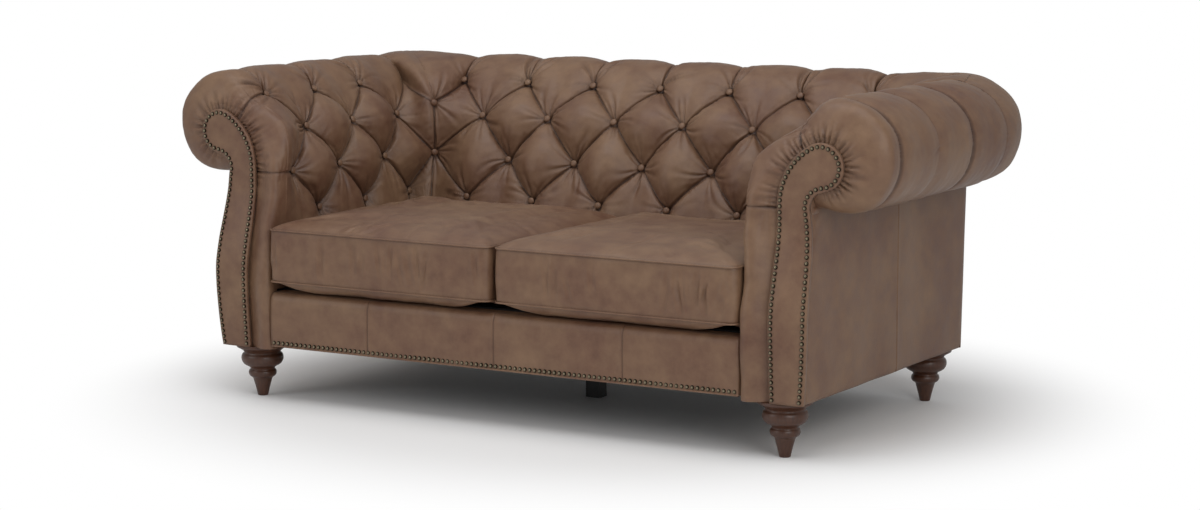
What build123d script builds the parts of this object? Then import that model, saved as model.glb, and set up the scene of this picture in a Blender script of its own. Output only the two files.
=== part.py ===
from build123d import *
import math
import os
from collections import namedtuple

# Two-seat deep-buttoned leather sofa with rolled arms and a rolled back of one height.
# Millimetres, +X to the right as seen from the front, +Y to the back, +Z up.
# The origin is on the floor under the middle of the sofa.

# Overall lay-out
inside_half_width = 632.0    # centre line to the crown of an inside arm
arm_roll_offset = 192.0      # crown of the inside arm out to the centre of the arm roll
roll_height = 661.0          # floor to the centre of the rolls
roll_radius = 114.0          # to the bottom of the pleats
flute_crown = 16.0           # swell of the leather between two roll pleats
roll_setback = 858.0         # facing plane back to the centre of the back roll
roll_corner_radius = 93.0    # centre line of the roll round the rear corners
foot_height = 128.0
cushion_overhang = 19.0      # seat cushion's front bulge ahead of the facing plane

# Deep buttoning: rows from the seat upwards, set back and height from the roll's centre
arm_rows = {"d": (159.0, -213.0), "c": (152.0, -116.0), "b": (124.0, -18.0), "a": (78.0, 63.0)}
back_rows = {"d": (221.0, -220.0), "c": (175.0, -126.0), "b": (144.0, -21.0), "a": (80.0, 61.0)}
# Pleat points over and under the roll, as angles round its centre
arm_roll_angles = (85.0, 15.0, -50.0, -112.0)
back_roll_angles = (85.0, 20.0, -32.0, -72.0)
corner_roll_angles = (85.0, 20.0, -18.0, -52.0)
flute_fade = (1.0, 1.0, 1.0, 0.2)   # the flutes are drawn flat where the leather is tacked
bays = 3                     # button bays along an arm, and each side of the back's middle
arm_first_button = 133.0     # facing plane to the first button column
arm_last_button_gap = 138.0  # last button column to the centre of the back roll
back_end_button_gap = 241.0  # outermost back column to the centre of the arm roll
corner_arm_setback = 207.0   # corner pleat, from the arm roll's centre
corner_back_setback = 180.0  # corner pleat, from the back roll's centre
corner_foot_setback = 224.0  # the same pleat at the seat
corner_heights = {"c": -116.0, "b": 12.0}
tuft_crown = 36.0            # swell of a diamond above its buttons
ridge_rise = 0.85            # how steeply a ridge leaves its button, as a share of the swell
half_fullness = 0.25         # fullness beside a ridge, as a share of the swell
corner_fullness = 0.35       # pillows drawn into the corner pleat, as a share of a full one
pleat_rise = 10.0            # the pleats rise between their buttons
pad_thickness = 10.0         # leather and wadding behind a button
button_radius = 8.5
button_dome = 5.0
button_lift = 8.0            # button's rim above the bottom of its tuft
button_shank = 1.2
button_shoulder = 0.9        # dome's shoulder, as a share of the radius
button_shoulder_rise = 0.55  # and of the dome
shank_end = 1.0

# Arm front: bull-nosed border round a scroll facing
front_arc_radius = 180.0     # border's inside curve
front_arc_setback = 16.5
front_arc_drop = -58.0
front_pleat = 14.0
border_depth = 75.0          # border's bull nose round the roll, behind the facing plane
border_depths = {"base": 20.0, "foot": 20.0, "c": 52.0, "b": 66.0, "a": 70.0}   # and down the arm front
border_a_place = (80.0, 62.0)   # where the roll's pleat turns to the facing, from the roll's centre
border_c_height = 552.0      # where the front button's pleat meets the border
border_c_inset = 6.0         # and how far it draws the border in
border_edge_pad = 11.0       # wadding at the border's tacked edge
brow_inset = 9.0             # border's fullest line, from the arm's inner face
brow_proud = 7.0             # and ahead of the facing
brow_lean = 30.0             # its outward direction, off straight ahead
facing_thickness = 10.0
facing_inner_setback = 123.0
facing_neck_setback = 45.0
facing_foot_setback = 40.0
facing_belly_setback = 30.0
facing_belly_height = 285.0
facing_neck_height = 545.0
facing_head_setback = 19.0
facing_head_rise = -17.0
facing_head_radius = 53.0
facing_inner_straight = 560.0
facing_lap = 6.0             # the border runs this far behind the facing's edge
facing_throat = -80.0        # angle on the scroll head where the throat begins
facing_crest = 20.0          # angle on the scroll head midway round
border_angles = {"b": 13.0, "a": 42.0}   # pleat points of the border
border_reach = 1.35          # the border's edge leads the scroll head on the seat side
ogee_belly = 10.0            # facing's forward belly, seen from the side
ogee_setback = 30.0          # scroll head set back
ogee_low = 300.0
ogee_high = 510.0
tuck_gap = 3.6
ogee_steps = 12
scroll_board_inset = 24.0
scroll_board_thickness = 25.0

# Timber seat frame
side_rail_width = 45.0
side_rail_height = 90.0
rail_thickness = 30.0
rail_bottom = 140.0
rail_top = 250.0
front_rail_setback = 46.0
rear_rail_setback = 800.0
centre_rail_width = 44.0
centre_rail_height = 85.0
foot_block_width = 78.0
foot_block_depth = 65.0
foot_block_height = 60.0
glue_block_leg = 60.0
glue_block_height = 45.0
arm_post_width = 55.0
arm_front_post_rear = 90.0
arm_rear_post_setback = 770.0
arm_rear_post_depth = 45.0
tack_rail_height = 40.0
tack_rail_bottom = 300.0
arm_rail_height = 38.0
back_post_width = 60.0
back_post_depth = 26.0
back_post_spacing = 520.0
roll_core_gap = 18.0
core_end_gap = 6.0

# Seat suspension
spring_count = 9
spring_span = 138.0
spring_half_wave = 36.0
spring_width = 50.0
spring_wire = 4.0
clip_size = 14.0
deck_thickness = 18.0
deck_edge = 660.0            # half width of the platform under the arm padding
deck_back_setback = 690.0

# Seat cushions
cushion_gap = 14.0
cushion_side_gap = 4.0
cushion_back_gap = 40.0      # cushion's rear to the bottom of the buttoned back
cushion_bottom_seam = 296.0
cushion_top_seam = 421.0
cushion_crown = 27.0
cushion_waist = 5.0          # sides draw in between the corners
border_swell = 14.0
core_inset = 30.0
core_wrap = 24.0

# Outside covers
panel_thickness = 5.0
panel_setback = 45.0         # outside arm panel, from the roll's centre
panel_foot_setback = 3.0     # outside back panel behind the back roll's centre, at the bottom
panel_top_setback = 22.0     # and at the top
panel_top_drop = 106.0       # outside panels end below the rolls' centre, behind the tacked edges
panel_steps = 6
rail_cover_front = -7.0
rail_cover_bottom = 138.0
rail_cover_top = 268.0
rail_cover_round = 16.0
rail_cover_end_gap = 1.5
dust_cover_thickness = 1.5

# Feet
foot_side_inset = 113.0      # foot centre, from the roll's centre
foot_front_setback = 62.0
foot_rear_setback = 812.0
foot_tip_radius = 12.8
foot_taper_radius = 25.0
foot_taper_top = 46.0
foot_lower_ring_radius = 34.0
foot_lower_ring = 57.0
foot_neck_radius = 30.0
foot_neck = 70.0
foot_upper_ring_radius = 51.0
foot_upper_ring = 91.0
foot_waist_radius = 45.0
foot_waist = 108.0
foot_plate_radius = 62.5
foot_plate = 7.0
bolt_radius = 4.0
bolt_clearance = 0.2
bolt_in_foot = 45.0
bolt_in_block = 45.0
centre_leg_width = 38.0
centre_leg_depth = 35.0
centre_leg_setback = 456.0

seat_gap = 0.3               # soft pieces stay this far from their seats

crown_radius = roll_radius + flute_crown
roll_x = inside_half_width + arm_roll_offset
front_y = -(cushion_overhang + roll_setback + crown_radius) / 2
facing_y = front_y + cushion_overhang
back_roll_y = facing_y + roll_setback
deck_top = rail_top + spring_wire + deck_thickness
cushion_belly = cushion_bottom_seam - deck_top - seat_gap   # the cushion rests on the platform
foot_x = roll_x - foot_side_inset
panel_x = roll_x - panel_setback
panel_top = roll_height - panel_top_drop
side_rail_inner = panel_x - panel_thickness - side_rail_width
block_inner = side_rail_inner - foot_block_width
core_radius = roll_radius - pad_thickness - roll_core_gap
top_ring = len(arm_roll_angles) - 1

# A point of a padded skin: its place, which way is out, and the padding's depth under it
Spot = namedtuple("Spot", "at out depth")
DIAGONAL = math.sqrt(0.5)
MIDDLE_WEIGHT = 0.5625   # pull of a pillow's inner points on its middle
SEAM_WEIGHT = 0.375      # and of its seams
MOST_HANDLE = 1.7


def sunk(spot):
    """The point behind a spot, on the back of the padding."""
    return Spot(spot.at - spot.out * spot.depth, spot.out, 0)


def crowned(spot):
    return spot.depth > pad_thickness


def edge_points(a, b, rise):
    """Four control points of the seam from a to b, round between both normals and lifted by rise."""
    run = b.at - a.at

    def handle(out):
        along = run - out * run.dot(out)
        lean = along.length / run.length
        return along * min(2 / (lean * (1 + lean)), MOST_HANDLE) / 3

    return [a.at, a.at + handle(a.out) + a.out * rise[0], b.at - handle(b.out) + b.out * rise[1], b.at]


def seam(a, b, flat_pleat):
    """A pleat between two buttons rises a little, a ridge leaves its button steeply."""
    if crowned(a) and crowned(b):
        return edge_points(a, b, (0, 0))
    if crowned(a):
        return edge_points(a, b, (0, ridge_rise * (a.depth - pad_thickness)))
    if crowned(b):
        return edge_points(a, b, (ridge_rise * (b.depth - pad_thickness), 0))
    rise = 0 if flat_pleat else pleat_rise
    return edge_points(a, b, (rise, rise))


def net(corners, edges, swell, ridge):
    """Control points of a pillow between four spots, with swell at its middle."""
    a, b, c, d = corners
    ab, bc, dc, ad = edges
    grid = [[None] * 4 for _ in range(4)]
    for i in range(4):
        grid[i][0] = ab[i]
        grid[i][3] = dc[i]
    for j in range(4):
        grid[0][j] = ad[j]
        grid[3][j] = bc[j]
    for i in (1, 2):
        for j in (1, 2):
            u, v = i / 3, j / 3
            ruled = grid[i][0] * (1 - v) + grid[i][3] * v + grid[0][j] * (1 - u) + grid[3][j] * u
            flat = (a.at * (1 - u) + b.at * u) * (1 - v) + (d.at * (1 - u) + c.at * u) * v
            out = ((a.out * (1 - u) + b.out * u) * (1 - v) + (d.out * (1 - u) + c.out * u) * v).normalized()
            grid[i][j] = ruled - flat + out * swell
    if ridge:
        for i in (1, 2):
            out = (d.out * (3 - i) + c.out * i).normalized()
            grid[i][2] = grid[i][2] - out * (grid[i][2] - grid[i][3]).dot(out)
    return grid


def padded_skin(pillows):
    """One solid from pillows (four spots, swell, ridge on the third side, pleats without rise)."""
    faces = []
    borders = {}
    for corners, swell, ridge, flat_pleat in pillows:
        a, b, c, d = corners
        outer = [seam(m, n, flat_pleat) for m, n in ((a, b), (b, c), (d, c), (a, d))]
        faces.append(Face.make_bezier_surface(net(corners, outer, swell, ridge)))
        back = [sunk(s) for s in corners]
        ends = ((0, 1), (1, 2), (3, 2), (0, 3))
        inner = [edge_points(back[m], back[n], (0, 0)) for m, n in ends]
        faces.append(Face.make_bezier_surface(net(back, inner, 0, False)))
        for front_edge, back_edge in zip(outer, inner):
            middle = front_edge[0] + front_edge[1] + front_edge[2] + front_edge[3]
            key = (round(middle.X, 3), round(middle.Y, 3), round(middle.Z, 3))
            if key in borders:
                del borders[key]
            else:
                borders[key] = [front_edge, back_edge]
    for strip in borders.values():
        faces.append(Face.make_bezier_surface(strip))
    return Solid(Shell(faces))


def pillow(a, b, c, d, fullness=1.0):
    """A diamond between four buttons."""
    swell = (tuft_crown - SEAM_WEIGHT * pleat_rise) / MIDDLE_WEIGHT - pleat_rise
    return ((a, b, c, d), swell * fullness, False, False)


def half_pillow(a, b, c, d):
    """Half of a pillow whose ridge runs from c to d."""
    return ((a, b, c, d), half_fullness * tuft_crown, True, False)


def flute(a, b, c, d):
    """Half of a roll flute: pleat from a to b, ridge from c to d."""
    return ((a, b, c, d), 0, True, True)


def row_outward(rows, name, foot):
    """Direction out of the padding at a row, square to the line through the rows beside it."""
    order = ["foot", "d", "c", "b", "a"]
    places = dict(rows, foot=foot)
    k = order.index(name)
    low = places[order[max(k - 1, 0)]]
    high = places[order[min(k + 1, len(order) - 1)]]
    if name == "a":
        setback, height = places["a"]
        size = math.hypot(setback, height)
        return setback / size, height / size
    run = (high[0] - low[0], high[1] - low[1])
    size = math.hypot(*run)
    return run[1] / size, -run[0] / size


def arm_spot(setback, height, along, outward, high=0.0):
    out = Vector(-outward[0], 0, outward[1])
    place = Vector(roll_x - setback, facing_y + along, roll_height + height)
    return Spot(place + out * high, out, pad_thickness + high)


def back_spot(setback, height, across, outward, high=0.0):
    out = Vector(0, -outward[0], outward[1])
    place = Vector(across, back_roll_y - setback, roll_height + height)
    return Spot(place + out * high, out, pad_thickness + high)


def rolled(angle):
    """Set back, height and outward direction of a pleat point on the roll."""
    turn = math.radians(angle)
    outward = (-math.cos(turn), math.sin(turn))
    return -roll_radius * math.cos(turn), roll_radius * math.sin(turn), outward


def corner_spots(shift):
    """Corner pleat from the seat up over the roll's corner, moved sideways by shift."""
    seat = Vector(-DIAGONAL, -DIAGONAL, 0)
    aside = Vector(DIAGONAL, -DIAGONAL, 0) * shift
    spots = {}
    foot_place = Vector(roll_x - corner_arm_setback, back_roll_y - corner_foot_setback, deck_top + seat_gap)
    spots["foot"] = Spot(foot_place + aside, seat, pad_thickness)
    for name, height in corner_heights.items():
        place = Vector(roll_x - corner_arm_setback, back_roll_y - corner_back_setback, roll_height + height)
        spots[name] = Spot(place + aside, seat, pad_thickness)
    turn_centre = Vector(roll_x - roll_corner_radius, back_roll_y - roll_corner_radius, roll_height)
    for k, angle in enumerate(corner_roll_angles):
        turn = math.radians(angle)
        crown = flute_crown * flute_fade[k]
        out = Vector(math.cos(turn) * DIAGONAL, math.cos(turn) * DIAGONAL, math.sin(turn))
        place = turn_centre - seat * roll_corner_radius + out * (roll_radius + crown)
        spots[k] = Spot(place + aside, out, pad_thickness + crown)
    return spots


def ogee(z):
    """How far the facing's front lies behind the facing plane at height z."""
    low = min(max((z - foot_height) / (ogee_high - foot_height), 0), 1)
    rise = min(max((z - ogee_low) / (ogee_high - ogee_low), 0), 1)
    return ogee_setback * rise * rise * (3 - 2 * rise) - ogee_belly * math.sin(math.pi * low)


def side_band(front, thickness):
    """Full-width slab that follows the ogee, front behind it and thickness deep."""
    low = foot_height
    high = roll_height + roll_radius
    heights = [low + (high - low) * k / ogee_steps for k in range(ogee_steps + 1)]
    fore = [Vector(0, facing_y + ogee(z) + front, z) for z in heights]
    aft = [p + Vector(0, thickness, 0) for p in fore]
    outline = Curve() + [Spline(fore), Line(fore[-1], aft[-1]), Spline(aft), Line(aft[0], fore[0])]
    return extrude(make_face(outline), amount=2 * roll_x, dir=(1, 0, 0))


def facing_outline(inset):
    """Scroll outline of the arm front, seen from the front, drawn in by inset."""
    inner = roll_x - facing_inner_setback + inset
    foot_outer = roll_x - facing_foot_setback - inset
    belly = roll_x - facing_belly_setback - inset
    neck = roll_x - facing_neck_setback - inset
    head_x = roll_x - facing_head_setback
    head_z = roll_height + facing_head_rise
    head = facing_head_radius - inset
    bottom = foot_height + inset
    straight = facing_inner_straight
    sweep = ((inner - head_x) ** 2 + (straight - head_z) ** 2 - head ** 2) / (2 * (head_x - inner - head))
    bend_x = inner + sweep
    lean = math.atan2(head_z - straight, head_x - bend_x)

    def on_head(angle):
        return (head_x + head * math.cos(angle), 0, head_z + head * math.sin(angle))

    half_lean = (math.pi + lean) / 2
    bend_mid = (bend_x + sweep * math.cos(half_lean), 0, straight + sweep * math.sin(half_lean))
    under = math.radians(facing_throat)
    crest = math.radians(facing_crest)
    throat = (neck + (on_head(under)[0] - neck) / 4, 0, (facing_neck_height + 3 * on_head(under)[2]) / 4)
    neck_end = (neck, 0, facing_neck_height)
    outline = Curve() + [
        Line((foot_outer, 0, bottom), (inner, 0, bottom)),
        Line((inner, 0, bottom), (inner, 0, straight)),
        ThreePointArc((inner, 0, straight), bend_mid, on_head(lean)),
        ThreePointArc(on_head(lean), on_head(crest), on_head(under)),
        ThreePointArc(on_head(under), throat, neck_end),
        ThreePointArc(neck_end, (belly, 0, facing_belly_height), (foot_outer, 0, bottom)),
    ]
    return make_face(outline)


def scroll_plate(inset, front, thickness):
    """A scroll-shaped board that follows the ogee."""
    span = 2 * (ogee_setback + ogee_belly + front + thickness)
    block = extrude(facing_outline(inset), amount=span, dir=(0, 1, 0))
    block = Pos(0, facing_y - span / 4, 0) * block
    return block & side_band(front, thickness)


def brow_between(edge, nose):
    """The border's fullest spot, half way along the seam from its edge to its nose."""
    line = seam(edge, nose, True)
    middle = (line[0] + line[1] * 3 + line[2] * 3 + line[3]) / 8
    ahead = (line[3] + line[2] - line[1] - line[0]).normalized()
    out = edge.out + nose.out
    return Spot(middle, (out - ahead * out.dot(ahead)).normalized(), border_edge_pad)


def arm_front_spots():
    """Border nose, brow and edge behind the facing, from the floor end up round the scroll."""
    nose, brow, edge = {}, {}, {}
    inner = roll_x - facing_inner_setback + facing_lap
    head_x = roll_x - facing_head_setback
    head_z = roll_height + facing_head_rise
    head = facing_head_radius - facing_lap
    tuck = facing_thickness + tuck_gap
    forward = Vector(0, -1, 0)
    inward = Vector(-1, 0, 0)
    lean = math.radians(brow_lean)
    brow_out = Vector(-math.sin(lean), -math.cos(lean), 0)
    deep = pad_thickness + front_pleat

    def tucked(x, z):
        return Spot(Vector(x, facing_y + ogee(z) + tuck, z), forward, border_edge_pad)

    heights = {"base": foot_height + seat_gap, "foot": deck_top + seat_gap, "c": border_c_height}
    for name, z in heights.items():
        inset = border_c_inset if name == "c" else 0
        place = Vector(inside_half_width + inset, facing_y + border_depths[name], z)
        nose[name] = Spot(place, inward, deep)
        edge[name] = tucked(inner, z)
        full = Vector(place.X + brow_inset, facing_y + ogee(z) - brow_proud, z)
        brow[name] = Spot(full, brow_out, deep)
    for name, angle in border_angles.items():
        turn = math.radians(angle)
        outward = (math.cos(turn), math.sin(turn))
        radius = front_arc_radius - front_pleat
        place = (front_arc_setback + radius * outward[0], front_arc_drop + radius * outward[1])
        nose[name] = arm_spot(*place, border_depths[name], outward, front_pleat)
        reach = math.pi - turn
        z = head_z + head * math.sin(reach)
        edge[name] = tucked(max(inner, head_x + border_reach * head * math.cos(reach)), z)
    nose["a"] = arm_spot(*border_a_place, border_depths["a"], row_outward(arm_rows, "a", None))
    for k, angle in enumerate(arm_roll_angles):
        setback, height, outward = rolled(angle)
        nose[k] = arm_spot(setback, height, border_depth, outward, flute_crown * flute_fade[k])
        turn = math.radians(angle)
        edge[k] = tucked(head_x + head * math.cos(turn), head_z + head * math.sin(turn))
    for name in edge:
        if name not in brow:
            brow[name] = brow_between(edge[name], nose[name])
    return nose, brow, edge


def arm_cover():
    """Buttoned inside arm with its roll and bull-nosed front, for the +X side."""
    step = (roll_setback - arm_last_button_gap - arm_first_button) / (2 * bays)
    along = [arm_first_button + step * i for i in range(2 * bays + 1)]
    foot = (arm_rows["d"][0], deck_top + seat_gap - roll_height)

    def row(name, i, high=0.0):
        place = foot if name == "foot" else arm_rows[name]
        return arm_spot(*place, along[i], row_outward(arm_rows, name, foot), high)

    def ring(k, i):
        setback, height, outward = rolled(arm_roll_angles[k])
        return arm_spot(setback, height, along[i], outward, flute_crown * flute_fade[k] * (i % 2))

    corner = corner_spots(seat_gap / 2)
    nose, brow, edge = arm_front_spots()
    last = 2 * bays
    skin = []
    buttons = [row(name, i) for name in "ac" for i in range(0, last, 2)]
    buttons += [row(name, i) for name in "bd" for i in range(1, last, 2)]
    for i in range(1, last, 2):
        rear_c = corner["c"] if i + 1 == last else row("c", i + 1)
        skin.append(pillow(row("d", i), rear_c, row("b", i), row("c", i - 1)))
        if i + 1 < last:
            skin.append(pillow(row("c", i + 1), row("b", i + 2), row("a", i + 1), row("b", i)))
        crest = ring(0, i)
        skin.append(half_pillow(row("a", i - 1), ring(0, i - 1), crest, row("b", i)))
        skin.append(half_pillow(ring(0, i + 1), row("a", i + 1), row("b", i), crest))
        skirt = row("foot", i - 1, tuft_crown)
        skin.append(half_pillow(row("foot", i), row("d", i), row("c", i - 1), skirt))
        if i + 1 < last:
            skirt = row("foot", i + 1, tuft_crown)
            skin.append(half_pillow(row("d", i), row("foot", i), skirt, row("c", i + 1)))
        for k in range(top_ring):
            skin.append(flute(ring(k, i - 1), ring(k + 1, i - 1), ring(k + 1, i), ring(k, i)))
            skin.append(flute(ring(k + 1, i + 1), ring(k, i + 1), ring(k, i), ring(k + 1, i)))
    rear_foot = row("foot", last - 1)
    skin.append(pillow(rear_foot, corner["foot"], corner["c"], row("d", last - 1), corner_fullness))
    skin.append(pillow(row("b", last - 1), corner["c"], corner["b"], row("a", last), corner_fullness))
    skin.append(half_pillow(row("a", last), ring(0, last), corner[0], corner["b"]))
    for k in range(top_ring):
        skin.append(flute(ring(k, last), ring(k + 1, last), corner[k + 1], corner[k]))
        skin.append(flute(ring(k + 1, 0), ring(k, 0), nose[k], nose[k + 1]))
    front_skirt = row("foot", 0, tuft_crown)
    skin.append(half_pillow(nose["c"], row("c", 0), front_skirt, nose["foot"]))
    skin.append(half_pillow(row("c", 0), nose["c"], nose["b"], row("b", 1)))
    skin.append(half_pillow(nose["a"], row("a", 0), row("b", 1), nose["b"]))
    skin.append(half_pillow(ring(0, 0), row("a", 0), nose["a"], nose[0]))
    order = ["base", "foot", "c", "b", "a", 0, 1, 2, 3]
    for low, high in zip(order, order[1:]):
        skin.append(((edge[low], edge[high], brow[high], brow[low]), 0, False, True))
        skin.append(((brow[low], brow[high], nose[high], nose[low]), 0, False, True))
    return padded_skin(skin), buttons


def back_cover():
    """Buttoned inside back with its roll, from corner to corner."""
    step = (roll_x - back_end_button_gap) / (2 * bays)
    across = [step * (i - 2 * bays) for i in range(4 * bays + 1)]
    foot = (back_rows["d"][0], deck_top + seat_gap - roll_height)

    def row(name, i, high=0.0):
        place = foot if name == "foot" else back_rows[name]
        return back_spot(*place, across[i], row_outward(back_rows, name, foot), high)

    def ring(k, i):
        setback, height, outward = rolled(back_roll_angles[k])
        return back_spot(setback, height, across[i], outward, flute_crown * flute_fade[k] * (i % 2))

    def flipped(spot):
        place, out = spot.at, spot.out
        return Spot(Vector(-place.X, place.Y, place.Z), Vector(-out.X, out.Y, out.Z), spot.depth)

    right = corner_spots(-seat_gap / 2)
    left = {name: flipped(spot) for name, spot in right.items()}
    last = 4 * bays
    skin = []
    buttons = [row("a", i) for i in range(0, last + 1, 2)]
    buttons += [row("c", i) for i in range(2, last, 2)]
    buttons += [row(name, i) for name in "bd" for i in range(1, last, 2)]
    buttons += [side[name] for side in (left, right) for name in "bc"]
    for i in range(1, last, 2):
        fore = left["c"] if i == 1 else row("c", i - 1)
        rear = right["c"] if i + 1 == last else row("c", i + 1)
        skin.append(pillow(row("d", i), rear, row("b", i), fore))
        if i + 1 < last:
            skin.append(pillow(row("c", i + 1), row("b", i + 2), row("a", i + 1), row("b", i)))
            skirt = row("foot", i + 1, tuft_crown)
            skin.append(half_pillow(row("d", i), row("foot", i), skirt, row("c", i + 1)))
            skin.append(half_pillow(row("foot", i + 2), row("d", i + 2), row("c", i + 1), skirt))
        crest = ring(0, i)
        skin.append(half_pillow(row("a", i - 1), ring(0, i - 1), crest, row("b", i)))
        skin.append(half_pillow(ring(0, i + 1), row("a", i + 1), row("b", i), crest))
        for k in range(top_ring):
            skin.append(flute(ring(k, i - 1), ring(k + 1, i - 1), ring(k + 1, i), ring(k, i)))
            skin.append(flute(ring(k + 1, i + 1), ring(k, i + 1), ring(k, i), ring(k + 1, i)))
    for corner, end, inward in ((left, 0, 1), (right, last, last - 1)):
        end_foot = row("foot", inward)
        skin.append(pillow(end_foot, corner["foot"], corner["c"], row("d", inward), corner_fullness))
        skin.append(pillow(row("b", inward), corner["c"], corner["b"], row("a", end), corner_fullness))
        skin.append(half_pillow(row("a", end), ring(0, end), corner[0], corner["b"]))
        for k in range(top_ring):
            skin.append(flute(ring(k, end), ring(k + 1, end), corner[k + 1], corner[k]))
    return padded_skin(skin), buttons


def covered_buttons(spots):
    """Domed leather-covered buttons, each on its shank at the bottom of a tuft."""
    rim = button_lift
    shoulder = (button_radius * button_shoulder, 0, rim + button_shoulder_rise * button_dome)
    top = rim + button_dome
    stem = [(0, 0, shank_end), (button_shank, 0, shank_end), (button_shank, 0, rim)]
    profile = Polyline(*stem, (button_radius, 0, rim), shoulder, (0, 0, top), close=True)
    button = revolve(make_face(profile), Axis.Z)
    return Compound([Plane(origin=s.at, z_dir=s.out) * button for s in spots])


def box(low, high):
    """A block between two corners."""
    size = [h - l for l, h in zip(low, high)]
    middle = [(l + h) / 2 for l, h in zip(low, high)]
    return Pos(*middle) * Box(*size)


def right_and_left(name, solid):
    """The same piece on both sides."""
    return {f"right_{name}": solid, f"left_{name}": mirror(solid, Plane.YZ)}


def seat_frame():
    """Seat rails, centre rail, foot blocks and glue blocks."""
    rail_front = facing_y + front_rail_setback
    rail_rear = facing_y + rear_rail_setback
    rail_end = rail_rear + rail_thickness
    side_low = (side_rail_inner, rail_front, foot_height)
    side = box(side_low, (panel_x - panel_thickness, rail_end, foot_height + side_rail_height))
    pieces = right_and_left("side_rail", side)
    for name, y in (("front_rail", rail_front), ("rear_rail", rail_rear)):
        pieces[name] = box((-block_inner, y, rail_bottom), (block_inner, y + rail_thickness, rail_top))
    half = centre_rail_width / 2
    centre_low = (-half, rail_front + rail_thickness, rail_bottom)
    pieces["centre_rail"] = box(centre_low, (half, rail_rear, rail_bottom + centre_rail_height))
    blocks, wedges = [], []
    hole = Cylinder(bolt_radius + bolt_clearance, bolt_in_block)
    rear_block = rail_end - foot_block_depth
    for start_y, foot_y in ((rail_front, foot_front_setback), (rear_block, foot_rear_setback)):
        block_low = (block_inner, start_y, foot_height)
        block = box(block_low, (side_rail_inner, start_y + foot_block_depth, foot_height + foot_block_height))
        block -= Pos(foot_x, facing_y + foot_y, foot_height + bolt_in_block / 2) * hole
        blocks += [block, mirror(block, Plane.YZ)]
    for y, way in ((rail_front + rail_thickness, 1), (rail_rear, -1)):
        corner = (block_inner, y, rail_bottom)
        across = (block_inner - glue_block_leg, y, rail_bottom)
        outline = Polyline(corner, across, (block_inner, y + way * glue_block_leg, rail_bottom), close=True)
        wedge = extrude(make_face(outline), amount=glue_block_height, dir=(0, 0, 1))
        wedges += [wedge, mirror(wedge, Plane.YZ)]
    pieces["foot_blocks"] = Compound(blocks)
    pieces["glue_blocks"] = Compound(wedges)
    return pieces


def arm_frame():
    """Scroll board, posts, top rail, tack rail and roll core of each arm."""
    base = foot_height + side_rail_height
    outer = panel_x - panel_thickness
    inner = outer - arm_post_width
    board_back = facing_thickness + scroll_board_thickness
    board = scroll_plate(scroll_board_inset, facing_thickness, scroll_board_thickness)
    core_front = facing_y + ogee_setback + board_back + tuck_gap
    core_rear = back_roll_y - roll_corner_radius
    core = Pos(roll_x, (core_front + core_rear) / 2, roll_height) * Cylinder(
        core_radius, core_rear - core_front, rotation=(90, 0, 0))
    top = roll_height - math.sqrt(core_radius ** 2 - (roll_x - outer) ** 2) - seat_gap
    front_face = facing_y + arm_front_post_rear
    rear_face = facing_y + arm_rear_post_setback
    behind_board = side_band(board_back, arm_front_post_rear)
    front_post = box((inner, facing_y - ogee_belly, base), (outer, front_face, top)) & behind_board
    rear_post = box((inner, rear_face, base), (outer, rear_face + arm_rear_post_depth, top))
    rail_low = (outer - rail_thickness, front_face, top - arm_rail_height)
    rail = box(rail_low, (outer, rear_face, top))
    tack_low = (inner, front_face, tack_rail_bottom)
    tack = box(tack_low, (inner + rail_thickness, rear_face, tack_rail_bottom + tack_rail_height))
    pieces = right_and_left("arm_scroll_board", board)
    pieces |= right_and_left("arm_front_post", front_post)
    pieces |= right_and_left("arm_rear_post", rear_post)
    pieces |= right_and_left("arm_top_rail", rail)
    pieces |= right_and_left("arm_tack_rail", tack)
    pieces |= right_and_left("arm_roll_core", core)
    return pieces


def back_frame():
    """Back posts on the rear rail, tack rail and the core of the back roll."""
    half = panel_x - panel_thickness - arm_post_width - core_end_gap
    core = Pos(0, back_roll_y, roll_height) * Cylinder(core_radius, 2 * half, rotation=(0, 90, 0))
    front = facing_y + rear_rail_setback + rail_thickness
    rear = front + back_post_depth
    nearest = max(back_roll_y - rear, 0)
    top = roll_height - math.sqrt(core_radius ** 2 - nearest ** 2) - seat_gap
    posts = []
    for x in (-back_post_spacing, 0, back_post_spacing):
        posts.append(box((x - back_post_width / 2, front, rail_bottom), (x + back_post_width / 2, rear, top)))
    tack_half = back_post_spacing + back_post_width / 2
    tack_low = (-tack_half, front - rail_thickness, tack_rail_bottom)
    tack = box(tack_low, (tack_half, front, tack_rail_bottom + tack_rail_height))
    return {"back_roll_core": core, "back_posts": Compound(posts), "back_tack_rail": tack}


def ribbon(points, width):
    """Outline of a square-cornered band along the points."""
    half = width / 2
    sides = [], []
    for k, point in enumerate(points):
        lines = points[max(k - 1, 0):k + 2]
        bend = Vector(0, 0)
        for start, end in zip(lines, lines[1:]):
            run = (Vector(end) - Vector(start)).normalized()
            bend += Vector(-run.Y, run.X)
        sides[0].append(Vector(point) + bend * half)
        sides[1].insert(0, Vector(point) - bend * half)
    return Polyline(*sides[0], *sides[1], close=True)


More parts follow.
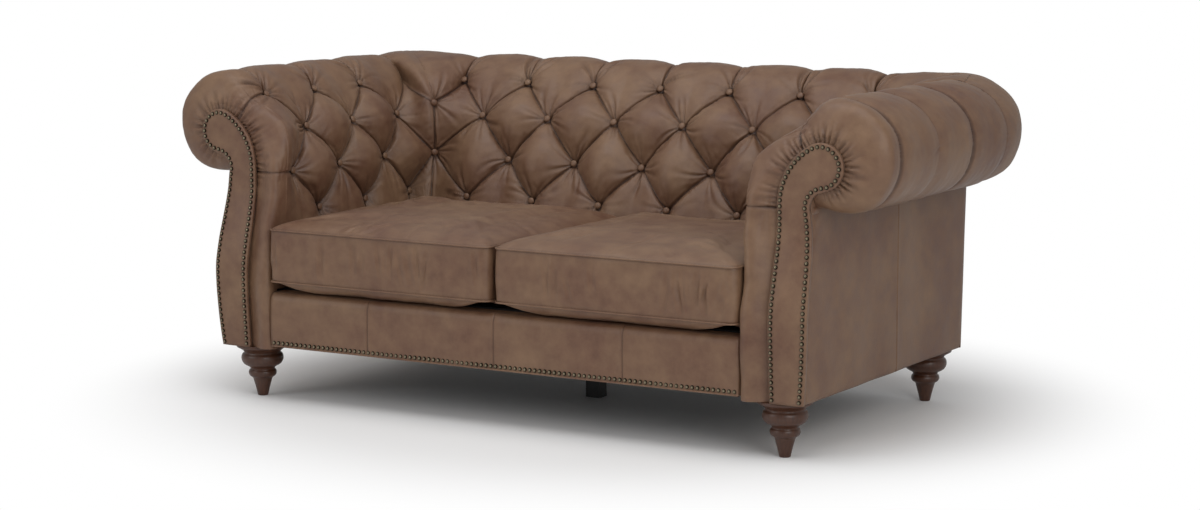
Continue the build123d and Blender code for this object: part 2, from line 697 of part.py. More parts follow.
def seat_springs():
    """Sinuous springs from the front rail to the rear rail, each end held in a clip."""
    start = facing_y + front_rail_setback + clip_size
    end = facing_y + rear_rail_setback + rail_thickness - clip_size
    first = start + spring_wire / 2
    waves = int((end - start - spring_wire) / spring_half_wave)
    pitch = (end - start - spring_wire) / waves
    reach = (spring_width - spring_wire) / 2
    path = [(-reach, first)]
    for m in range(waves):
        side = -reach if m % 2 else reach
        path += [(side, first + pitch * m), (side, first + pitch * (m + 1))]
    path.append((-path[-1][0], path[-1][1]))
    spring = extrude(make_face(ribbon(path, spring_wire)), amount=spring_wire, dir=(0, 0, 1))
    clip_low = (-clip_size, start - clip_size, rail_top)
    clip = box(clip_low, (clip_size, start, rail_top + spring_wire))
    springs, clips = [], []
    for n in range(spring_count):
        x = spring_span * (n - (spring_count - 1) / 2)
        springs.append(Pos(x, 0, rail_top) * spring)
        clips += [Pos(x, 0, 0) * clip, Pos(x, end - start + clip_size, 0) * clip]
    return {"seat_springs": Compound(springs), "spring_clips": Compound(clips)}


def seat_deck():
    """Felted platform cloth over the springs."""
    low = (-deck_edge, facing_y + front_rail_setback, rail_top + spring_wire)
    return {"seat_deck": box(low, (deck_edge, facing_y + deck_back_setback, deck_top))}


def seat_cushion():
    """Boxed seat cushion with crowned panels, drawn-in sides and a foam core, for the +X side."""
    low_x = cushion_gap / 2
    high_x = inside_half_width - cushion_side_gap
    low_y = front_y
    high_y = back_roll_y - back_rows["d"][0] - cushion_back_gap
    inset = 2 * SEAM_WEIGHT * DIAGONAL * border_swell
    corners = [(low_x + inset, low_y + inset), (high_x - inset, low_y + inset),
               (high_x - inset, high_y - inset), (low_x + inset, high_y - inset)]
    ways = [(0, -1), (1, 0), (0, 1), (-1, 0)]

    def ring(z, draw):
        """Four seam edges at height z, bowed inwards by draw."""
        edges = []
        for k in range(4):
            a, b = corners[k], corners[(k + 1) % 4]
            bow = Vector(-ways[k][0] * draw, -ways[k][1] * draw, 0)
            p, q = Vector(*a, z), Vector(*b, z)
            edges.append([p, p + (q - p) / 3 + bow, q - (q - p) / 3 + bow, q])
        return edges

    def panel(edges, swell):
        back = [edges[2][3 - i] for i in range(4)]
        left = [edges[3][3 - i] for i in range(4)]
        spots = [Spot(p, Vector(0, 0, 1), 0) for p in (edges[0][0], edges[1][0], edges[2][0], edges[3][0])]
        return Face.make_bezier_surface(net(spots, (edges[0], edges[1], back, left), swell, False))

    top = ring(cushion_top_seam, cushion_waist)
    bottom = ring(cushion_bottom_seam, cushion_waist)
    faces = [panel(top, cushion_crown / MIDDLE_WEIGHT), panel(bottom, -cushion_belly / MIDDLE_WEIGHT)]
    for k in range(4):
        rise = Vector(0, 0, (cushion_top_seam - cushion_bottom_seam) / 3)
        turn = Vector(ways[k][0], ways[k][1], 0) * border_swell
        grid = []
        for n, (p, q) in enumerate(zip(bottom[k], top[k])):
            corner_way = Vector(*ways[k - 1 if n == 0 else (k + 1) % 4], 0) * border_swell
            if n in (1, 2):
                way = turn
            else:
                way = (turn + corner_way) * DIAGONAL
            grid.append([p, p + rise + way, q - rise + way, q])
        faces.append(Face.make_bezier_surface(grid))
    case = Solid(Shell(faces))
    inner_low = (low_x + core_inset, low_y + core_inset, cushion_bottom_seam)
    inner_high = (high_x - core_inset, high_y - core_inset, cushion_top_seam)
    core = fillet(box(inner_low, inner_high).edges().filter_by(Axis.Z), core_wrap)
    return case - core, core


def outside_covers():
    """Leather panels outside the arms and back, front rail cover and dust cover."""
    rise = panel_top - foot_height
    heights = [foot_height + rise * k / panel_steps for k in range(panel_steps + 1)]
    tuck = facing_thickness + tuck_gap
    fore = [Vector(panel_x, facing_y + ogee(z) + tuck, z) for z in heights]
    rear_low = Vector(panel_x, back_roll_y + panel_foot_setback, foot_height)
    rear_high = Vector(panel_x, back_roll_y + panel_top_setback, panel_top)
    edges = [Spline(fore), Line(fore[-1], rear_high), Line(rear_high, rear_low), Line(rear_low, fore[0])]
    side = extrude(make_face(Curve() + edges), amount=panel_thickness, dir=(-1, 0, 0))
    pieces = right_and_left("outside_arm_panel", side)
    low = Vector(0, rear_low.Y, foot_height)
    high = Vector(0, rear_high.Y, panel_top)
    thick = Vector(0, panel_thickness, 0)
    profile = Polyline(low, high, high + thick, low + thick, close=True)
    pieces["outside_back_panel"] = extrude(make_face(profile), amount=panel_x, dir=(1, 0, 0), both=True)
    front = facing_y + rail_cover_front
    rear = facing_y + front_rail_setback
    half = inside_half_width - rail_cover_end_gap
    rail = box((-half, front, rail_cover_bottom), (half, rear, rail_cover_top))
    front_edges = rail.edges().filter_by(Axis.X).group_by(Axis.Y)[0]
    pieces["front_rail_cover"] = fillet(front_edges, rail_cover_round)
    edge = block_inner
    sheet_low = (-edge, facing_y + front_rail_setback, rail_bottom - dust_cover_thickness)
    sheet = box(sheet_low, (edge, facing_y + rear_rail_setback + rail_thickness, rail_bottom))
    leg_hole = Box(centre_leg_width, centre_leg_depth, 3 * dust_cover_thickness)
    sheet -= Pos(0, facing_y + centre_leg_setback, rail_bottom) * leg_hole
    pieces["dust_cover"] = sheet
    return pieces


def turned_foot():
    """Turned hardwood foot: tapered tip, two rings and a flared top plate."""
    plate_z = foot_height - foot_plate
    taper = (foot_taper_radius, foot_taper_top)
    lower = (foot_lower_ring_radius, foot_lower_ring)
    neck = (foot_neck_radius, foot_neck)
    upper = (foot_upper_ring_radius, foot_upper_ring)
    waist = (foot_waist_radius, foot_waist)
    plate = (foot_plate_radius, plate_z)
    profile = [
        Polyline((0, foot_height), (0, 0), (foot_tip_radius, 0), taper),
        RadiusArc(taper, lower, -foot_lower_ring_radius),
        RadiusArc(lower, neck, -foot_neck_radius / 3),
        RadiusArc(neck, upper, -foot_upper_ring_radius),
        RadiusArc(upper, waist, -foot_waist_radius / 4),
        RadiusArc(waist, plate, foot_waist_radius),
        Polyline(plate, (foot_plate_radius, foot_height), (0, foot_height)),
    ]
    section = Plane.XZ * make_face(Curve() + profile)
    foot = revolve(section, Axis.Z)
    hole = Cylinder(bolt_radius + bolt_clearance, bolt_in_foot)
    return foot - Pos(0, 0, foot_height - bolt_in_foot / 2) * hole


def feet():
    """Four feet on their hanger bolts, and the centre support leg."""
    foot = turned_foot()
    length = bolt_in_foot + bolt_in_block
    bolt = Pos(0, 0, foot_height - bolt_in_foot + length / 2) * Cylinder(bolt_radius, length)
    pieces, bolts = {}, []
    for end, y in (("front", foot_front_setback), ("rear", foot_rear_setback)):
        place = Pos(foot_x, facing_y + y, 0)
        pieces |= right_and_left(f"{end}_foot", place * foot)
        bolts += [place * bolt, mirror(place * bolt, Plane.YZ)]
    pieces["foot_bolts"] = Compound(bolts)
    leg_y = facing_y + centre_leg_setback
    leg_low = (-centre_leg_width / 2, leg_y - centre_leg_depth / 2, 0)
    pieces["centre_leg"] = box(leg_low, (centre_leg_width / 2, leg_y + centre_leg_depth / 2, rail_bottom))
    return pieces


def sofa():
    """Every piece by name."""
    pieces = seat_frame() | arm_frame() | back_frame() | seat_springs() | seat_deck()
    arm, arm_buttons = arm_cover()
    pieces |= right_and_left("arm_cover", arm)
    pieces |= right_and_left("arm_buttons", covered_buttons(arm_buttons))
    back, back_buttons = back_cover()
    pieces["back_cover"] = back
    pieces["back_buttons"] = covered_buttons(back_buttons)
    pieces |= right_and_left("arm_facing", scroll_plate(0, 0, facing_thickness))
    case, core = seat_cushion()
    pieces |= right_and_left("cushion_case", case)
    pieces |= right_and_left("cushion_foam", core)
    return pieces | outside_covers() | feet()


os.makedirs("parts", exist_ok=True)
for piece_name, piece in sofa().items():
    export_step(piece, f"parts/{piece_name}.step")
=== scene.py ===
import math
import bpy
import numpy as np
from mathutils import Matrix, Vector, kdtree


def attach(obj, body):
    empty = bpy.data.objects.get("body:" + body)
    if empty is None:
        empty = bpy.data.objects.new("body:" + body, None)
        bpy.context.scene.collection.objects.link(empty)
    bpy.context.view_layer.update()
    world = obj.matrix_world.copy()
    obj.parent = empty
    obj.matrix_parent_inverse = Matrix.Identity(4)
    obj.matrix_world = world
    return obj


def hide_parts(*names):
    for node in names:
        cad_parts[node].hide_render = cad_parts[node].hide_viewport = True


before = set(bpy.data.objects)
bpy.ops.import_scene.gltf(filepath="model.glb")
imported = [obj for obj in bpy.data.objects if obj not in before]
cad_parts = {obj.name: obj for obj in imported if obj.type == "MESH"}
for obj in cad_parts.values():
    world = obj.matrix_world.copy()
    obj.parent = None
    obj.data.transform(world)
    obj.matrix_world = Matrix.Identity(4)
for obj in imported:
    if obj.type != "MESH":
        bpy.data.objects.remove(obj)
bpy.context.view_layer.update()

# The timber skeleton: beech rails, posts, blocks and turned packing rolls, planed, glued and screwed.
# It is closed in by the upholstery and shows only if a cover is taken off.
MM = 0.001


def linear(hex_colour):
    """An sRGB hex colour as linear RGBA."""
    parts = [int(hex_colour[i:i + 2], 16) / 255 for i in (1, 3, 5)]
    return [p / 12.92 if p <= 0.04045 else ((p + 0.055) / 1.055) ** 2.4 for p in parts] + [1.0]


def node(tree, kind, sockets=None, **settings):
    """Adds a node with its settings, and sets or links its sockets."""
    made = tree.nodes.new(kind)
    for name, value in settings.items():
        setattr(made, name, value)
    for name, value in (sockets or {}).items():
        if isinstance(value, bpy.types.NodeSocket):
            tree.links.new(value, made.inputs[name])
        else:
            made.inputs[name].default_value = value
    return made


def material(name):
    """A new material, its nodes, its shader and the place on the piece that patterns follow."""
    made = bpy.data.materials.new(name)
    made.use_nodes = True
    tree = made.node_tree
    return made, tree, tree.nodes["Principled BSDF"], node(tree, "ShaderNodeTexCoord").outputs["Object"]


def noise(tree, place, size_mm, detail, rough=0.5):
    """Uneven pattern with lumps of about size_mm."""
    return node(tree, "ShaderNodeTexNoise", {"Vector": place, "Scale": 1 / (size_mm * MM), "Detail": detail,
                                             "Roughness": rough}).outputs["Fac"]


def blend(tree, share, low, high):
    """A colour between two, each a hex colour or the output of a node."""
    low, high = [linear(c) if isinstance(c, str) else c for c in (low, high)]
    return node(tree, "ShaderNodeMix", {0: share, 6: low, 7: high}, data_type="RGBA").outputs[2]


def emboss(tree, shader, height, strength, depth_mm):
    """Raises a material's surface by a pattern."""
    lift = node(tree, "ShaderNodeBump", {"Height": height, "Strength": strength, "Distance": depth_mm * MM})
    tree.links.new(lift.outputs["Normal"], shader.inputs["Normal"])


def dress(names, surface):
    """Gives CAD pieces their material."""
    for name in names:
        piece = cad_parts[name]
        piece.data.materials.clear()
        piece.data.materials.append(surface)


# Planed beech: pale, straight-grained, with fine darker flecks along the grain and no finish.
beech, tree, shader, place = material("planed_beech")
GRAIN_MM = 6.0
stretch = node(tree, "ShaderNodeMapping", {"Vector": place, "Scale": (0.12, 0.12, 1.0)}).outputs["Vector"]
fleck = noise(tree, stretch, GRAIN_MM, 4.0)
tree.links.new(blend(tree, fleck, "#c79f6f", "#a97f50"), shader.inputs["Base Color"])
emboss(tree, shader, fleck, 0.2, 0.4)
shader.inputs["Roughness"].default_value = 0.62
timber = ["front_rail", "rear_rail", "centre_rail", "foot_blocks", "glue_blocks", "back_roll_core",
          "back_posts", "back_tack_rail"]
for side in ("right_", "left_"):
    timber += [side + n for n in ("side_rail", "arm_scroll_board", "arm_front_post", "arm_rear_post",
                                  "arm_top_rail", "arm_tack_rail", "arm_roll_core")]
dress(timber, beech)

# Springs, their clips and the hanger bolts: drawn steel wire and zinc-plated screws.
# They lie under the platform cloth and inside the feet.
# Drawn steel: grey, bright but not polished, with fine lines from the die.
steel, tree, shader, place = material("drawn_steel_wire")
DRAW_LINE_MM = 0.8
lines = noise(tree, place, DRAW_LINE_MM, 2.0)
tree.links.new(blend(tree, lines, "#8a8c8e", "#a8aaab"), shader.inputs["Base Color"])
shader.inputs["Metallic"].default_value = 1.0
shader.inputs["Roughness"].default_value = 0.36
dress(["seat_springs", "spring_clips", "foot_bolts"], steel)

# Platform cloth over the springs and the dust cover under the frame: black woven polypropylene,
# stapled to the rails. Seen in the dark gap under the cushions and from below.
# Black woven cloth: matt, nearly black, with a fine crossing of threads.
cloth, tree, shader, place = material("black_platform_cloth")
THREAD_MM = 3.0         # about three times the real thread, so that the weave shows
WAVE_SCALE = 0.157      # scale of the wave node that makes one band as wide as a unit
threads = [node(tree, "ShaderNodeTexWave", {"Vector": place, "Scale": WAVE_SCALE / (THREAD_MM * MM)},
                bands_direction=way).outputs["Fac"] for way in "XY"]
weave = node(tree, "ShaderNodeMath", {0: threads[0], 1: threads[1]}, operation="MULTIPLY").outputs[0]
tree.links.new(blend(tree, weave, "#17171a", "#2b2b2e"), shader.inputs["Base Color"])
emboss(tree, shader, weave, 0.5, 0.5)
shader.inputs["Roughness"].default_value = 0.85
dress(["seat_deck", "dust_cover"], cloth)

# Centre support leg: a square softwood block, sprayed black and screwed under the centre rail, so that the
# long rails don't sag. It stands in the shade under the seat.
# Sprayed black paint: dull black with a slightly rough, specked film.
sprayed, tree, shader, place = material("sprayed_black_softwood")
SPRAY_MM = 1.5
speck = noise(tree, place, SPRAY_MM, 3.0)
tree.links.new(blend(tree, speck, "#141414", "#232222"), shader.inputs["Base Color"])
emboss(tree, shader, speck, 0.15, 0.3)
shader.inputs["Roughness"].default_value = 0.48
dress(["centre_leg"], sprayed)


# Four turned feet: hardwood, lathe-turned with two rings and a flared top plate, stained dark walnut
# and lacquered, each screwed on by its hanger bolt.
def add_piece(name, points, faces, surface):
    """A smooth mesh piece from points in millimetres."""
    mesh = bpy.data.meshes.new(name)
    mesh.from_pydata((np.asarray(points, float) * MM).tolist(), [], [list(map(int, f)) for f in faces])
    mesh.validate()
    mesh.materials.append(surface)
    for face in mesh.polygons:
        face.use_smooth = True
    piece = bpy.data.objects.new(name, mesh)
    bpy.context.scene.collection.objects.link(piece)
    return piece


def ring_faces(rings, turns):
    """Faces over rings of points, closed by one point before the first ring and one after the last."""
    faces, top = [], 1 + (rings - 1) * turns
    for k in range(turns):
        n = (k + 1) % turns
        faces.append((0, 1 + n, 1 + k))
        for low in range(1, top, turns):
            faces.append((low + k, low + n, low + turns + n, low + turns + k))
        faces.append((top + k, top + n, top + turns))
    return faces


def lathe(profile, turns):
    """Points and faces of a profile (radius, height) turned about +Z; it starts and ends on the axis."""
    angles = np.arange(turns) * 2 * np.pi / turns
    points = [(0, 0, profile[0][1])]
    for radius, height in profile[1:-1]:
        points += [(radius * math.cos(a), radius * math.sin(a), height) for a in angles]
    points.append((0, 0, profile[-1][1]))
    return np.array(points, float), ring_faces(len(profile) - 2, turns)


def bead(low, high, radius, foot_radius, top_radius, steps=9):
    """A turned ring: profile points from low to high, swelling to radius."""
    made = []
    for k in range(steps + 1):
        t = k / steps
        base = foot_radius + (top_radius - foot_radius) * t
        middle = (foot_radius + top_radius) / 2
        made.append((base + (radius - middle) * math.sin(math.pi * t) ** 0.6, low + (high - low) * t))
    return made


# Walnut-stained lacquered hardwood: deep red-brown, long grain up the foot, small sharp highlights
# on the rings.
walnut, tree, shader, place = material("lacquered_walnut_stain")
WALNUT_GRAIN_MM = 4.0
stretch = node(tree, "ShaderNodeMapping", {"Vector": place, "Scale": (1.0, 1.0, 0.1)}).outputs["Vector"]
figure = noise(tree, stretch, WALNUT_GRAIN_MM, 5.0, 0.6)
tree.links.new(blend(tree, figure, "#28140b", "#57331f"), shader.inputs["Base Color"])
emboss(tree, shader, figure, 0.08, 0.3)
shader.inputs["Roughness"].default_value = 0.38
shader.inputs["Coat Weight"].default_value = 0.06
shader.inputs["Coat Roughness"].default_value = 0.18

foot_profile = [(0, 0), (11.0, 0), (12.2, 0.6), (12.8, 2.0), (17.5, 22.0), (22.5, 40.0), (24.5, 45.0),
                (26.0, 46.0)]
foot_profile += bead(46.5, 66.0, 34.0, 27.0, 29.0)
foot_profile += [(29.5, 67.0), (30.5, 70.0), (35.0, 73.0), (39.0, 75.0)]
foot_profile += bead(75.5, 107.0, 51.0, 40.0, 44.0)
foot_profile += [(44.5, 108.5), (46.0, 111.0), (50.0, 114.5), (56.0, 118.0), (60.0, 120.0), (62.0, 121.5),
                 (62.5, 123.5), (62.5, 126.5), (61.8, 127.6), (60.5, 128.0), (0, 128.0)]
FOOT_X, FOOT_FRONT, FOOT_REAR = 711.0, -422.5, 327.5
foot_points, foot_faces = lathe(foot_profile, 64)
for side, x in (("right", FOOT_X), ("left", -FOOT_X)):
    for end, y in (("front", FOOT_FRONT), ("rear", FOOT_REAR)):
        foot = add_piece(f"turned_foot_{side}_{end}", foot_points + (x, y, 0), foot_faces, walnut)
        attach(foot, "frame")
        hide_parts(f"{side}_{end}_foot")

# Outside covers: flat hides over the outside of each arm and the back, tacked under the rolls and below
# the rails, thinly wadded, with vertical top-stitched seams where two hides join. A strip of the same hide
# is tucked into the throat between each arm panel and the scroll.
FACING_Y = -484.5       # front plane of the arm facings at the floor
FOOT_HEIGHT = 128.0
OGEE_LOW, OGEE_HIGH, OGEE_BELLY, OGEE_SETBACK = 300.0, 510.0, 10.0, 30.0
SIDES = (("right", 1), ("left", -1))


def ramp(value, start, end):
    """0 up to start, 1 from end on, straight between; end may lie below start."""
    return np.clip((value - start) / (end - start), 0, 1)


def ogee(z):
    """How far the arm front lies behind the facing plane at height z."""
    low, rise = ramp(z, FOOT_HEIGHT, OGEE_HIGH), ramp(z, OGEE_LOW, OGEE_HIGH)
    return OGEE_SETBACK * rise * rise * (3 - 2 * rise) - OGEE_BELLY * np.sin(np.pi * low)


def ripple(points, longest, seed, waves=7):
    """Slow uneven swell of stretched leather, about -1 to 1, from a few crossing waves."""
    draw = np.random.default_rng(seed)
    total = np.zeros(len(points))
    for _ in range(waves):
        way = draw.normal(size=3)
        way /= np.linalg.norm(way)
        length = longest * draw.uniform(0.45, 1.0)
        total += np.sin(points @ way * (2 * np.pi / length) + draw.uniform(0, 2 * np.pi))
    return total / math.sqrt(waves)


def crimp(band):
    """Section across a fold: 1 deep in the middle, with low shoulders; band is in widths of the fold."""
    return (1 - band ** 2) * np.exp(-0.5 * band ** 2)


def grid_faces(rows, columns):
    """Quads over a grid of rows by columns."""
    corners = [r * columns + c for r in range(rows - 1) for c in range(columns - 1)]
    return [(k, k + 1, k + columns + 1, k + columns) for k in corners]


def sheet_faces(rows, columns):
    """Faces of a closed sheet: a grid, its back and the rim between them."""
    count, faces = rows * columns, grid_faces(rows, columns)
    faces += [tuple(count + k for k in reversed(f)) for f in faces]
    rim = list(range(columns)) + [columns * (r + 1) - 1 for r in range(1, rows)]
    rim += list(range(count - 2, count - columns - 1, -1)) + [columns * r for r in range(rows - 2, 0, -1)]
    return faces + [(a, count + a, count + b, b) for a, b in zip(rim, rim[1:] + rim[:1])]


def cells(tree, place, size_mm):
    """Pattern of small round cells of about size_mm."""
    made = node(tree, "ShaderNodeTexVoronoi", {"Vector": place, "Scale": 1 / (size_mm * MM)})
    return made.outputs["Distance"]


def handed(points, faces, way):
    """Points and faces of the right side as they are, or mirrored to the left where way is -1."""
    return points * (way, 1, 1), faces if way > 0 else [tuple(f)[::-1] for f in faces]


# Waxed aniline leather: mid brown with cloudy lighter and darker patches, a fine pebble grain and a satin
# surface.
# Dark red-brown painted shade in the pleats, folds, gathers and seams and round the buttons;
# beside the pleats it is also the darker tone of drawn-in leather.
leather, tree, shader, place = material("waxed_brown_leather")
CLOUD_MM, PATCH_MM, PEBBLE_MM, CREASE_MM = 170.0, 34.0, 2.6, 11.0
cloud = noise(tree, place, CLOUD_MM, 3.0, 0.55)
patch = noise(tree, place, PATCH_MM, 4.0, 0.6)
cloud_spread = node(tree, "ShaderNodeMapRange", {0: cloud, 1: 0.34, 2: 0.66}).outputs[0]
patch_spread = node(tree, "ShaderNodeMapRange", {0: patch, 1: 0.3, 2: 0.7}).outputs[0]
body = blend(tree, cloud_spread, "#604030", "#795d46")
tone = blend(tree, 0.4, body, blend(tree, patch_spread, "#583a29", "#82654c"))
# Painted shade in the creases, mixed toward dark red-brown by the value written on each cover's points.
drawn_in_tone_and_shade = node(tree, "ShaderNodeAttribute", attribute_name="drawn_in_tone_and_shade").outputs["Fac"]
tree.links.new(blend(tree, drawn_in_tone_and_shade, tone, "#372118"), shader.inputs["Base Color"])
pebble = cells(tree, place, PEBBLE_MM)
crease = noise(tree, place, CREASE_MM, 5.0, 0.65)
grain = node(tree, "ShaderNodeBump", {"Height": pebble, "Strength": 0.18, "Distance": 0.5 * MM})
wrinkle = node(tree, "ShaderNodeBump", {"Height": crease, "Strength": 0.25, "Distance": 1.8 * MM,
                                        "Normal": grain.outputs["Normal"]})
tree.links.new(wrinkle.outputs["Normal"], shader.inputs["Normal"])
gloss = node(tree, "ShaderNodeMapRange", {0: patch, 1: 0.3, 2: 0.7, 3: 0.42, 4: 0.56}).outputs[0]
tree.links.new(gloss, shader.inputs["Roughness"])
shader.inputs["IOR"].default_value = 1.48
shader.inputs["Sheen Weight"].default_value = 0.03
shader.inputs["Sheen Roughness"].default_value = 0.4

PANEL_X, PANEL_TOP, PANEL_THICK = 779.0, 555.0, 5.0
PANEL_TUCK = 13.6                       # front edge, behind the facing's face
REAR_LOW, REAR_HIGH = 861.0, 880.0      # rear edge at the bottom and the top, from the facing plane
SEAM_Y, BACK_SEAM_X = FACING_Y + 485.0, 260.0
WADDING, WADDING_ROUND, EDGE_SUNK = 3.2, 7.0, 1.0
STITCHED = np.linspace(-8, 8, 17)       # close columns of points across a seam
heights = np.linspace(FOOT_HEIGHT, PANEL_TOP, 56)


def seam_groove(distance):
    """A top-stitched seam: a narrow valley with a raised lap on one side."""
    return -1.5 * np.exp(-(distance / 1.6) ** 2) + 0.9 * np.exp(-((distance - 4.5) / 2.6) ** 2)


def wadded(from_edge):
    """How far thin wadding lifts a panel, by the distance from its edge."""
    return WADDING * (1 - np.exp(-np.maximum(from_edge, 0) / WADDING_ROUND)) - EDGE_SUNK


def rear_edge(z):
    """Where the outside panels end at the back, at height z."""
    return FACING_Y + REAR_LOW + (REAR_HIGH - REAR_LOW) * (z - FOOT_HEIGHT) / (PANEL_TOP - FOOT_HEIGHT)


# Puckers under the scroll: distance from the front edge, drop below the top, slope and depth.
PUCKERS = ((16.0, 34.0, 0.9, 2.6), (24.0, 20.0, 0.5, 2.2), (30.0, 52.0, 1.3, 1.8))
PUCKER_WIDTH, PUCKER_LENGTH = 5.0, 26.0
TUCK_LOW, TUCK_HIGH, TUCK_DEEP, TUCK_THICK = 540.0, 607.0, 95.0, 3.0
for side, way in SIDES:
    rows = []
    for z in heights:
        start, end = FACING_Y + ogee(z) + PANEL_TUCK, rear_edge(z) + PANEL_THICK
        ys = np.sort(np.concatenate([start + (end - start) * np.linspace(0, 1, 70), SEAM_Y + STITCHED]))
        proud = wadded(np.minimum(np.minimum(ys - start, end - ys), z - FOOT_HEIGHT))
        rows.append(np.column_stack([PANEL_X + proud + seam_groove(ys - SEAM_Y), ys, np.full(len(ys), z)]))
    outer = np.concatenate(rows)
    near_front = np.exp(-(outer[:, 1] - FACING_Y) / 60.0)
    outer[:, 0] += 1.3 * ripple(outer * (1, 1, 0.35), 240.0, 11)
    outer[:, 0] += 1.1 * near_front * ripple(outer * (0, 0.3, 1), 46.0, 12)
    for back, drop, lean, deep in PUCKERS:
        run_y, run_z = outer[:, 1] - FACING_Y - OGEE_SETBACK - back, outer[:, 2] - PANEL_TOP + drop
        band = (run_z - lean * run_y) / (PUCKER_WIDTH * math.hypot(1, lean))
        outer[:, 0] -= deep * crimp(band) * np.exp(-(run_y ** 2 + run_z ** 2) / PUCKER_LENGTH ** 2)
    inner = outer.copy()
    inner[:, 0] = PANEL_X - PANEL_THICK
    points, faces = handed(np.concatenate([outer, inner]), sheet_faces(len(heights), len(ys)), way)
    panel = add_piece(f"outside_arm_leather_{side}", points, faces, leather)
    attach(panel, "frame")
    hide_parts(f"{side}_outside_arm_panel")
    tuck = []
    for z in np.linspace(TUCK_LOW, TUCK_HIGH, 15):
        for y in np.linspace(FACING_Y + ogee(z) + 11.5, FACING_Y + TUCK_DEEP, 18):
            rumple = 0.8 * math.sin(z / 9.0) * math.exp((FACING_Y - y + 40) / 30)
            tuck.append((PANEL_X + 1.5 - 0.06 * (z - TUCK_LOW) + rumple, y, z))
    outer = np.array(tuck)
    points, faces = handed(np.concatenate([outer, outer - (TUCK_THICK, 0, 0)]), sheet_faces(15, 18), way)
    tucked_in = add_piece(f"outside_arm_tuck_{side}", points, faces, leather)
    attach(tucked_in, "frame")

across = np.concatenate([np.linspace(-PANEL_X, PANEL_X, 110), STITCHED - BACK_SEAM_X, STITCHED + BACK_SEAM_X])
across.sort()
flat_x, flat_z = [a.ravel() for a in np.meshgrid(across, heights)]
lean = rear_edge(flat_z)
proud = wadded(np.minimum(PANEL_X - np.abs(flat_x), flat_z - FOOT_HEIGHT))
proud += seam_groove(flat_x - BACK_SEAM_X) + seam_groove(flat_x + BACK_SEAM_X)
outer = np.column_stack([flat_x, lean + PANEL_THICK + proud, flat_z])
outer[:, 1] += 0.9 * ripple(outer * (1, 1, 0.6), 260.0, 13)
points = np.concatenate([outer, np.column_stack([flat_x, lean, flat_z])])
faces = [f[::-1] for f in sheet_faces(len(heights), len(across))]
panel = add_piece("outside_back_leather", points, faces, leather)
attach(panel, "frame")
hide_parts("outside_back_panel")

# Deep-buttoned covers of the arms and back: one hide each over hair and wadding, drawn down by buttons on
# twine into diamonds, pleated straight over the rolls, gathered round the scroll fronts, tacked out of sight.
HALF_WIDTH, ROLL_X, ROLL_Z, ROLL_R, FLUTE = 632.0, 824.0, 661.0, 114.0, 16.0
ROLL_SETBACK = 858.0
BACK_Y = FACING_Y + ROLL_SETBACK
CORNER_R = 93.0
DECK = 272.3
ARM_ROWS = {"d": (159.0, -213.0), "c": (152.0, -116.0), "b": (124.0, -18.0), "a": (78.0, 63.0)}
BACK_ROWS = {"d": (221.0, -220.0), "c": (175.0, -126.0), "b": (144.0, -21.0), "a": (80.0, 61.0)}
ARM_TURNS = (85.0, 15.0, -50.0, -112.0)
BACK_TURNS = (85.0, 20.0, -32.0, -72.0)
CORNER_TURNS = (85.0, 20.0, -18.0, -52.0)
FADE = (1.0, 1.0, 1.0, 0.2)
PLEAT_FILL = (2.0, 9.0, 11.0, 1.5)   # how far the wadding fills the pleats over the arm's roll
PLEAT_SHARP = {0: (1.0, 1.0, 1.0, 0.8), 2: (0.8, 0.1, 0.0, 0.0), 4: (1.0, 1.0, 1.0, 0.8),
               6: (0.8, 0.4, 0.4, 0.2)}
BAYS = 3
ARM_FIRST, ARM_LAST_GAP, BACK_END_GAP = 133.0, 138.0, 241.0
CORNER_ARM, CORNER_BACK, CORNER_FOOT = 207.0, 180.0, 224.0
CORNER_Z = {"c": -116.0, "b": 12.0}
CORNER_OPEN = 0.15                   # half the gap between two covers in the corner pleat
TUFT, PLEAT_RISE, RIDGE_RISE, HALF_FULL, CORNER_FULL = 36.0, 15.0, 0.85, 0.25, 0.35
NOSE_R, NOSE_BACK, NOSE_DROP, NOSE_PLEAT = 180.0, 16.5, -58.0, 14.0
NOSE_DEPTH = 75.0
NOSE_DEPTHS = {"base": 20.0, "foot": 20.0, "c": 52.0, "b": 66.0, "a": 70.0}
NOSE_A = (80.0, 62.0)            # where the roll's pleat turns to the facing, from the roll's centre
NOSE_C_IN, NOSE_C_Z = 6.0, 552.0
NOSE_TURNS = {"b": 13.0, "a": 42.0}
NOSE_LEAD = 1.35                 # the border's edge leads the scroll head on the seat side
BROW_IN, BROW_PROUD = 9.0, 7.0   # the border's fullest line: from the arm's inner face, ahead of the facing
EDGE_PAD = 1.0
HEAD_X, HEAD_Z, HEAD_R = ROLL_X - 19.0, ROLL_Z - 17.0, 53.0
FACING_IN, LAP, TUCK = ROLL_X - 123.0, 6.0, 13.6
DIAGONAL = math.sqrt(0.5)
PATCH_STEPS, PLEAT_POINTS = 40, 61
PATCH_SIDES = ((0, 1), (1, 2), (3, 2), (0, 3))


def unit(v):
    """A vector of length 1."""
    return v / np.linalg.norm(v)


def spot(at, out, high=0.0, pleat=None, sharp=1.0):
    """A point of a cover: place, way out, height of its padding, whether a pleat may run through it."""
    pleat = high == 0 if pleat is None else pleat
    at, out = np.array(at, float), np.array(out, float)
    return {"at": at, "out": out, "high": high, "pleat": pleat, "sharp": sharp}


